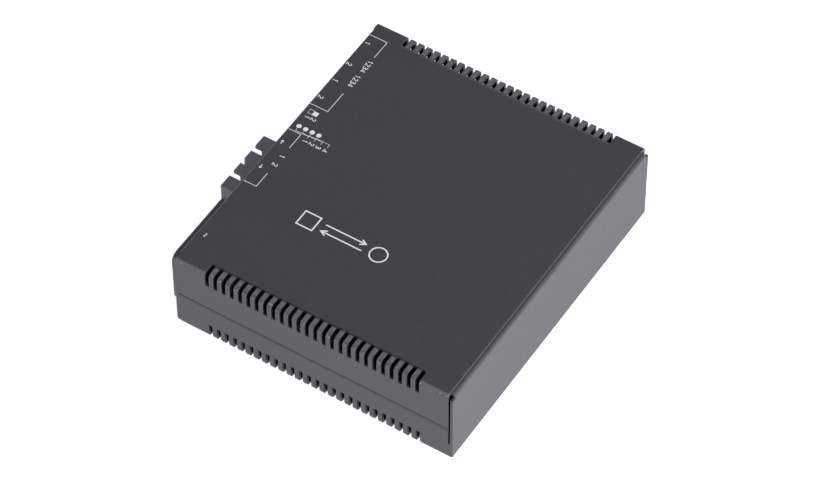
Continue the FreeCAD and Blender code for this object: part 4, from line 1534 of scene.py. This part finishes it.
@dataclass
class FibreTransceiver:
    """Duplex fibre transceiver: moulded body, ceramic sleeves and port latches."""
    shop: Workshop
    bore: float = 0.78
    flare: float = 0.08
    flare_depth: float = 0.3
    lip: float = 0.15
    latch_side: float = 3.9
    latch: tuple[Pair, ...] = ((4.2, 0.0), (-0.4, 0.0), (-1.2, 0.7), (-2.0, 0.14))
    latch_half: float = 1.1
    latch_gauge: float = 0.5

    def build(self) -> None:
        """Dresses the body and builds what stands in its ports."""
        self.shop.dress("fibre moulding", "fibre_housing")
        self.shop.dress("gold plate", "fibre_pins")
        sleeves, latches = Form(), Form()
        for room in self.shop.rooms("fibre_sleeves"):
            (x, _, z), front, length = room.middle, room.low.y, room.size.y
            radius, bore = room.size.x / 2, room.size.x / 2 * self.bore
            sleeves.lathe([(bore + self.flare, 0.0), (radius - self.lip, 0.0), (radius, self.lip),
                           (radius, length), (bore, length), (bore, self.flare_depth)],
                          (x, front, z), "y", looped=True)
            for side in (-1, 1):
                latches.strip([(x + side * (self.latch_side - hook), front + reach, z)
                               for reach, hook in self.latch],
                              (0, 0, self.latch_half), self.latch_gauge)
        sleeves.finish("ceramic_sleeves", self.shop, "white ceramic", ["fibre_sleeves"])
        latches.finish("port_latches", self.shop, "fibre moulding")


@dataclass
class MainsInlet:
    """Mains inlet: moulded bezel, and three blades with bevelled tips."""
    shop: Workshop
    tip: tuple[Pair, ...] = ((0.0, 0.55), (1.2, 0.12), (1.5, 0.0))
    nick: float = 0.15

    def build(self) -> None:
        """Dresses the body and builds the blades."""
        self.shop.dress("inlet moulding", "mains_inlet_body")
        form, nick = Form(), self.nick
        for room in self.shop.rooms("mains_inlet_blades"):
            low, high, rings = room.low, room.high, []
            for reach, cut in (*self.tip, (room.size.y, 0.0)):
                x0, x1, z0, z1 = low.x + cut, high.x - cut, low.z + cut, high.z - cut
                rings.append([(x, low.y + reach, z) for x, z in (
                    (x0 + nick, z0), (x1 - nick, z0), (x1, z0 + nick), (x1, z1 - nick),
                    (x1 - nick, z1), (x0 + nick, z1), (x0, z1 - nick), (x0, z0 + nick))])
            form.sweep(rings)
        form.finish("inlet_blades", self.shop, "nickel plate", ["mains_inlet_blades"])


# Boards --------------------------------------------------------------------------------------

@dataclass
class SupplyBoard:
    """Lower board: mains side, transformer and low-voltage side."""
    shop: Workshop
    parts: SmallParts
    fuse_cap: float = 5.0
    fuse_play: float = 0.02
    fuse_round: Pair = (0.25, 0.15)
    fuse_lap: Pair = (0.4, 0.5)
    fuse_sag: Pair = (0.15, 0.2)
    fuse_wire: float = 0.12
    turns: int = 11
    wire: float = 0.42
    core_hole: float = 0.45
    core_inset: tuple[float, ...] = (1.1, 1.0, 0.9)
    core_chamfer: float = 0.5
    coil_span: float = 150.0
    coil_starts: Pair = (15.0, 195.0)
    flange: float = 2.6
    flange_round: float = 0.9
    laps: Pair = (0.9, 1.7)
    lap_gauge: float = 0.05
    lap_round: float = 0.02
    coil: Pair = (4.2, 0.35)
    coil_lap: float = 0.2
    coil_round: float = 0.3
    film_round: float = 0.5
    rectifier_round: float = 0.35

    def build(self) -> None:
        """Dresses the board and builds its parts."""
        self.shop.dress("green board", "supply_board")
        self.shop.dress("black moulding", "board_link_header")
        self.shop.dress("nickel plate", "fuse_clips")
        self.shop.dress("black anodised", "power_heat_sink")
        self.shop.dress("chip resin", "power_transistor")
        self.shop.dress("grey ferrite", "transformer_core")
        self._fuse()
        self._choke()
        self._winding()
        self.parts.solid("line_filter_capacitor", "film_capacitor", "film box", self.film_round)
        self.parts.solid("bridge_rectifier", "rectifier_block", "chip resin",
                         self.rectifier_round)
        self.parts.cans("reservoir_capacitor", "reservoir_can")
        self.parts.cans("output_capacitors", "output_cans")

    def _fuse(self) -> None:
        """Builds a glass fuse: tube, two caps and the wire inside."""
        room = self.shop.room("fuse")
        radius, length, cap = room.size.x / 2 - self.fuse_play, room.size.y, self.fuse_cap
        x, y, z = room.middle.x, room.low.y, room.middle.z
        (edge, rim), (lap, hold), (bow, sag) = self.fuse_round, self.fuse_lap, self.fuse_sag
        glass, caps = Form(), Form()
        glass.lathe([(HUB, cap - lap), (radius - edge, cap - lap),
                     (radius - edge, length - cap + lap), (HUB, length - cap + lap)],
                    (x, y, z), "y")
        for start in (0.0, length - cap):
            caps.lathe([(HUB, start), (radius - edge, start), (radius, start + edge),
                        (radius, start + cap - rim), (radius - rim, start + cap),
                        (HUB, start + cap)], (x, y, z), "y")
        caps.tube([(x, y + cap - hold, z), (x + bow, y + length / 2, z - sag),
                   (x, y + length - cap + hold, z)], self.fuse_wire, 6)
        glass.finish("fuse_tube", self.shop, "clear glass", ["fuse"])
        caps.finish("fuse_caps", self.shop, "nickel plate")

    def _choke(self) -> None:
        """Builds a ring core with two windings."""
        room = self.shop.room("line_choke")
        outer, height, wire = room.size.x / 2, room.size.z, self.wire
        x, y, z = room.middle.x, room.middle.y, room.low.z
        end, rim, hole = self.core_inset
        low, high, wide, tight = end, height - end, outer - rim, outer * self.core_hole + hole
        core, coil, cut = Form(), Form(), self.core_chamfer
        core.lathe([(wide - cut, low), (wide, low + cut), (wide, high - cut), (wide - cut, high),
                    (tight + cut, high), (tight, high - cut), (tight, low + cut),
                    (tight + cut, low)], (x, y, z), sides=40, looped=True)
        section = [*arc((wide, low), wire, 300, 360, 2), *arc((wide, high), wire, 0, 90, 3),
                   *arc((tight, high), wire, 90, 180, 3), *arc((tight, low), wire, 180, 270, 3)]
        for first in self.coil_starts:
            path = []
            for loop in range(self.turns):
                for place, (radius, up) in enumerate(section):
                    share = (loop + place / len(section)) / self.turns
                    turn = math.radians(first + self.coil_span * share)
                    path.append((x + radius * math.cos(turn), y + radius * math.sin(turn), z + up))
            coil.tube(path, wire, 7)
        core.finish("choke_core", self.shop, "grey ferrite", ["line_choke"])
        coil.finish("choke_windings", self.shop, "enamelled wire")

    def _winding(self) -> None:
        """Builds the transformer's bobbin flanges and its taped winding."""
        room = self.shop.room("transformer_winding")
        form = Form()
        low, high, thin = room.low, room.high, self.lap_gauge
        for start in (low.y, high.y - self.flange):
            form.block((low.x, start, low.z), (high.x, start + self.flange, high.z),
                       self.flange_round, 3)
            for lap in self.laps:
                form.block((low.x + thin, start + lap, low.z),
                           (high.x - thin, start + lap + thin, high.z), self.lap_round, 1)
        (wide, inset), reach = self.coil, self.flange - self.coil_lap
        for left, right in ((low.x + inset, low.x + wide), (high.x - wide, high.x - inset)):
            form.block((left, low.y + reach, low.z + inset),
                       (right, high.y - reach, high.z - inset), self.coil_round, 1)
        form.finish("taped_winding", self.shop, "winding tape", ["transformer_winding"])


@dataclass
class SignalBoard:
    """Upper board: converter chip, its heat sink, and the parts round them."""
    shop: Workshop
    parts: SmallParts
    converter_pins: int = 22
    interface_pins: int = 12
    crystal_round: float = 1.1

    def build(self) -> None:
        """Dresses the board and builds its parts."""
        self.shop.dress("green board", "signal_board")
        self.shop.dress("black anodised", "chip_heat_sink")
        self.parts.chips("converter_chip", "converter_package", Lead.GULL, self.converter_pins)
        self.parts.chips("interface_chips", "interface_packages", Lead.GULL,
                         self.interface_pins)
        self.parts.chips("line_transformers", "line_transformer_packages", Lead.NONE)
        self.parts.cans("board_capacitors", "board_cans", base=True)
        self.parts.solid("clock_crystal", "crystal_can", "nickel plate",
                         self.crystal_round)


# Stage ---------------------------------------------------------------------------------------

@dataclass
class Stage:
    """Camera, floor, sky and lamp, with lengths in metres."""
    eye: Point = (0.72577, 0.46904, 1.05942)
    right: Point = (-0.53718, 0.84346, -0.00314)
    up: Point = (-0.65116, -0.41234, 0.63716)
    back: Point = (0.53612, 0.34431, 0.77073)
    lens_mm: float = 182.08
    sensor_mm: float = 36.0
    floor_size: float = 8.0
    floor_tone: float = 0.9
    floor_shown: float = 0.8
    horizon: float = 1.0
    zenith: float = 0.25
    fade: Pair = (0.05, 0.75)
    cool: Colour = (0.88, 0.92, 1.0)
    lamp_watts: float = 40.0
    lamp_size: float = 1.2
    lamp_spot: Point = (0.35, 1.45, 0.35)

    def build(self) -> None:
        """Sets the whole stage."""
        self._camera()
        self._floor()
        self._sky()
        self._lamp()
        bpy.context.scene.view_settings.view_transform = "Standard"

    @staticmethod
    def _hang(name: str, data: bpy.types.ID) -> bpy.types.Object:
        """Makes an object of its data and links it to the scene.

        Args:
            name: the object's name.
            data: its mesh, camera or lamp.

        Returns:
            The new object.
        """
        made = bpy.data.objects.new(name, data)
        bpy.context.scene.collection.objects.link(made)
        return made

    def _camera(self) -> None:
        """Places the camera."""
        data = bpy.data.cameras.new("camera")
        data.lens, data.sensor_width = self.lens_mm, self.sensor_mm
        camera = self._hang("camera", data)
        turned = Matrix((self.right, self.up, self.back)).transposed().to_4x4()
        turned.translation = Vector(self.eye)
        camera.matrix_world = turned
        bpy.context.scene.camera = camera

    def _floor(self) -> None:
        """Lays a pale floor that is white to the camera, in reflections and through glass."""
        half = self.floor_size / 2
        data = bpy.data.meshes.new("floor")
        data.from_pydata([(*spot, 0) for spot in Pen.corners((-half, half), (-half, half))], [],
                         [(0, 1, 2, 3)])
        floor = self._hang("floor", data)
        material = bpy.data.materials.new("pale floor")
        material.use_nodes = True
        graph = Graph(material.node_tree)
        rays = graph.add("LightPath").outputs
        seen = graph.sum("MAXIMUM", rays["Is Camera Ray"], rays["Is Glossy Ray"])
        seen = graph.sum("MAXIMUM", seen, rays["Is Transmission Ray"])
        looks = {"Base Color": tuple(self.floor_tone * part for part in self.cool),
                 "Roughness": 1.0, "Specular IOR Level": 0.0, "Emission Color": (1.0, 1.0, 1.0),
                 "Emission Strength": graph.times(seen, self.floor_shown)}
        for name, value in looks.items():
            graph.give(material.node_tree.nodes["Principled BSDF"].inputs[name], value)
        data.materials.append(material)

    def _sky(self) -> None:
        """Makes a pale sky, softly graded from the horizon up."""
        world = bpy.data.worlds.new("studio")
        world.use_nodes = True
        bpy.context.scene.world = world
        graph = Graph(world.node_tree)
        way = graph.add("TexCoord").outputs["Generated"]
        height = graph.add("SeparateXYZ", {0: way}).outputs[2]
        rise = graph.times(graph.ramp(height, *self.fade), self.zenith - self.horizon)
        sky = world.node_tree.nodes["Background"].inputs
        graph.give(sky["Strength"], graph.sum("ADD", rise, self.horizon))
        graph.give(sky["Color"], self.cool)

    def _lamp(self) -> None:
        """Hangs one soft square lamp that faces the case."""
        data = bpy.data.lights.new("key lamp", "AREA")
        data.energy, data.size, data.color = self.lamp_watts, self.lamp_size, self.cool
        lamp = self._hang("key lamp", data)
        lamp.location = Vector(self.lamp_spot)
        lamp.rotation_euler = lamp.location.to_track_quat("Z", "Y").to_euler()


# Glint and edge give the coat painted glints and painted edge highlights.
COAT = {"colour": (0.0685, 0.0605, 0.064), "roughness": 0.5, "slot": Slot.COATING,
        "grain": 1900.0, "depth": 0.03, "glint": 0.14, "drift": 0.06, "edge": 0.9,
        "edge_radius": 0.25}
FINISHES = (
    PowderCoat("powder coat, cover", **COAT),
    TrayCoat("powder coat, tray", **COAT),
    # The ink glows as painted light, to make the print paler than white paint.
    Finish("lid ink", (0.93, 0.93, 0.95), 0.55, Slot.PALE, grain=3000.0, depth=0.004,
           drift=0.03, glow=0.14),
    Finish("foot rubber", (0.02, 0.02, 0.02), 0.85, Slot.RUBBER, grain=1500.0, depth=0.03,
           drift=0.2),
    Finish("bright zinc", (0.62, 0.62, 0.6), 0.34, Slot.ZINC, 1.0, 900.0, 0.006, drift=0.15),
    SolderMask("green board", (0.02, 0.14, 0.06), 0.35, Slot.BOARD, grain=1200.0, depth=0.008),
    Finish("black moulding", (0.02, 0.02, 0.022), 0.5, Slot.BLACK, grain=2600.0, depth=0.012,
           edge=0.5),
    Finish("pale moulding", (0.75, 0.75, 0.72), 0.45, Slot.PALE, grain=2600.0, depth=0.008),
    Finish("fibre moulding", (0.245, 0.234, 0.27), 0.5, Slot.FIBRE, grain=2400.0, depth=0.015,
           edge=0.5, edge_radius=0.15),
    Finish("white ceramic", (0.85, 0.85, 0.82), 0.15, Slot.CERAMIC, grain=800.0, depth=0.002,
           coat=0.4),
    Finish("gold plate", (0.83, 0.62, 0.28), 0.25, Slot.GOLD, 1.0, 1200.0, 0.003),
    Finish("inlet moulding", (0.11, 0.108, 0.128), 0.42, Slot.INLET, grain=2400.0, depth=0.012,
           edge=0.4),
    Finish("nickel plate", (0.72, 0.70, 0.66), 0.22, Slot.NICKEL, 1.0, 900.0, 0.003),
    Finish("tinned sheet", (0.70, 0.70, 0.70), 0.3, Slot.TIN, 1.0, 1600.0, 0.005, brushed=True),
    Finish("can top", (0.05, 0.05, 0.055), 0.5, Slot.CAN, 0.4, 1200.0, 0.006),
    Finish("lamp lens", (0.45, 0.62, 0.35), 0.18, Slot.LENS, grain=600.0, depth=0.002,
           clear=0.35, glow=0.02),
    Finish("clear glass", (0.85, 0.88, 0.88), 0.03, Slot.GLASS, grain=400.0, depth=0.001,
           clear=1.0, drift=0.0),
    Finish("grey ferrite", (0.045, 0.045, 0.05), 0.55, Slot.FERRITE, grain=1700.0, depth=0.02,
           glint=0.2),
    Finish("film box", (0.12, 0.09, 0.025), 0.4, Slot.FILM, grain=1500.0, depth=0.006),
    Finish("chip resin", (0.018, 0.018, 0.02), 0.6, Slot.RESIN, grain=3200.0, depth=0.012),
    Finish("can sleeve", (0.03, 0.04, 0.09), 0.28, Slot.CAN, grain=700.0, depth=0.004, coat=0.3),
    Finish("winding tape", (0.15, 0.11, 0.03), 0.35, Slot.TAPE, grain=600.0, depth=0.01),
    Finish("enamelled wire", (0.55, 0.20, 0.06), 0.28, Slot.FERRITE, 0.6, 900.0, 0.004),
    Finish("black anodised", (0.10, 0.10, 0.11), 0.45, Slot.SINK, 0.7, 1800.0, 0.01,
           brushed=True),
)


def main() -> None:
    """Loads the frame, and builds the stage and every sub-assembly."""
    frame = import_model()
    Stage().build()
    shop = Workshop(frame, FINISHES)
    parts = SmallParts(shop)
    pieces = (CaseShell(shop), LidPrint(shop), RubberFeet(shop), Fixings(shop),
              DataJack(shop, parts, "left"), DataJack(shop, parts, "right"), ModeSwitch(shop),
              StatusLights(shop), FibreTransceiver(shop), MainsInlet(shop),
              SupplyBoard(shop, parts), SignalBoard(shop, parts))
    for piece in pieces:
        LOG.info("building %s", type(piece).__name__)
        piece.build()


if __name__ == "__main__":
    logging.basicConfig(level=logging.INFO, format="%(name)s: %(message)s")
    main()
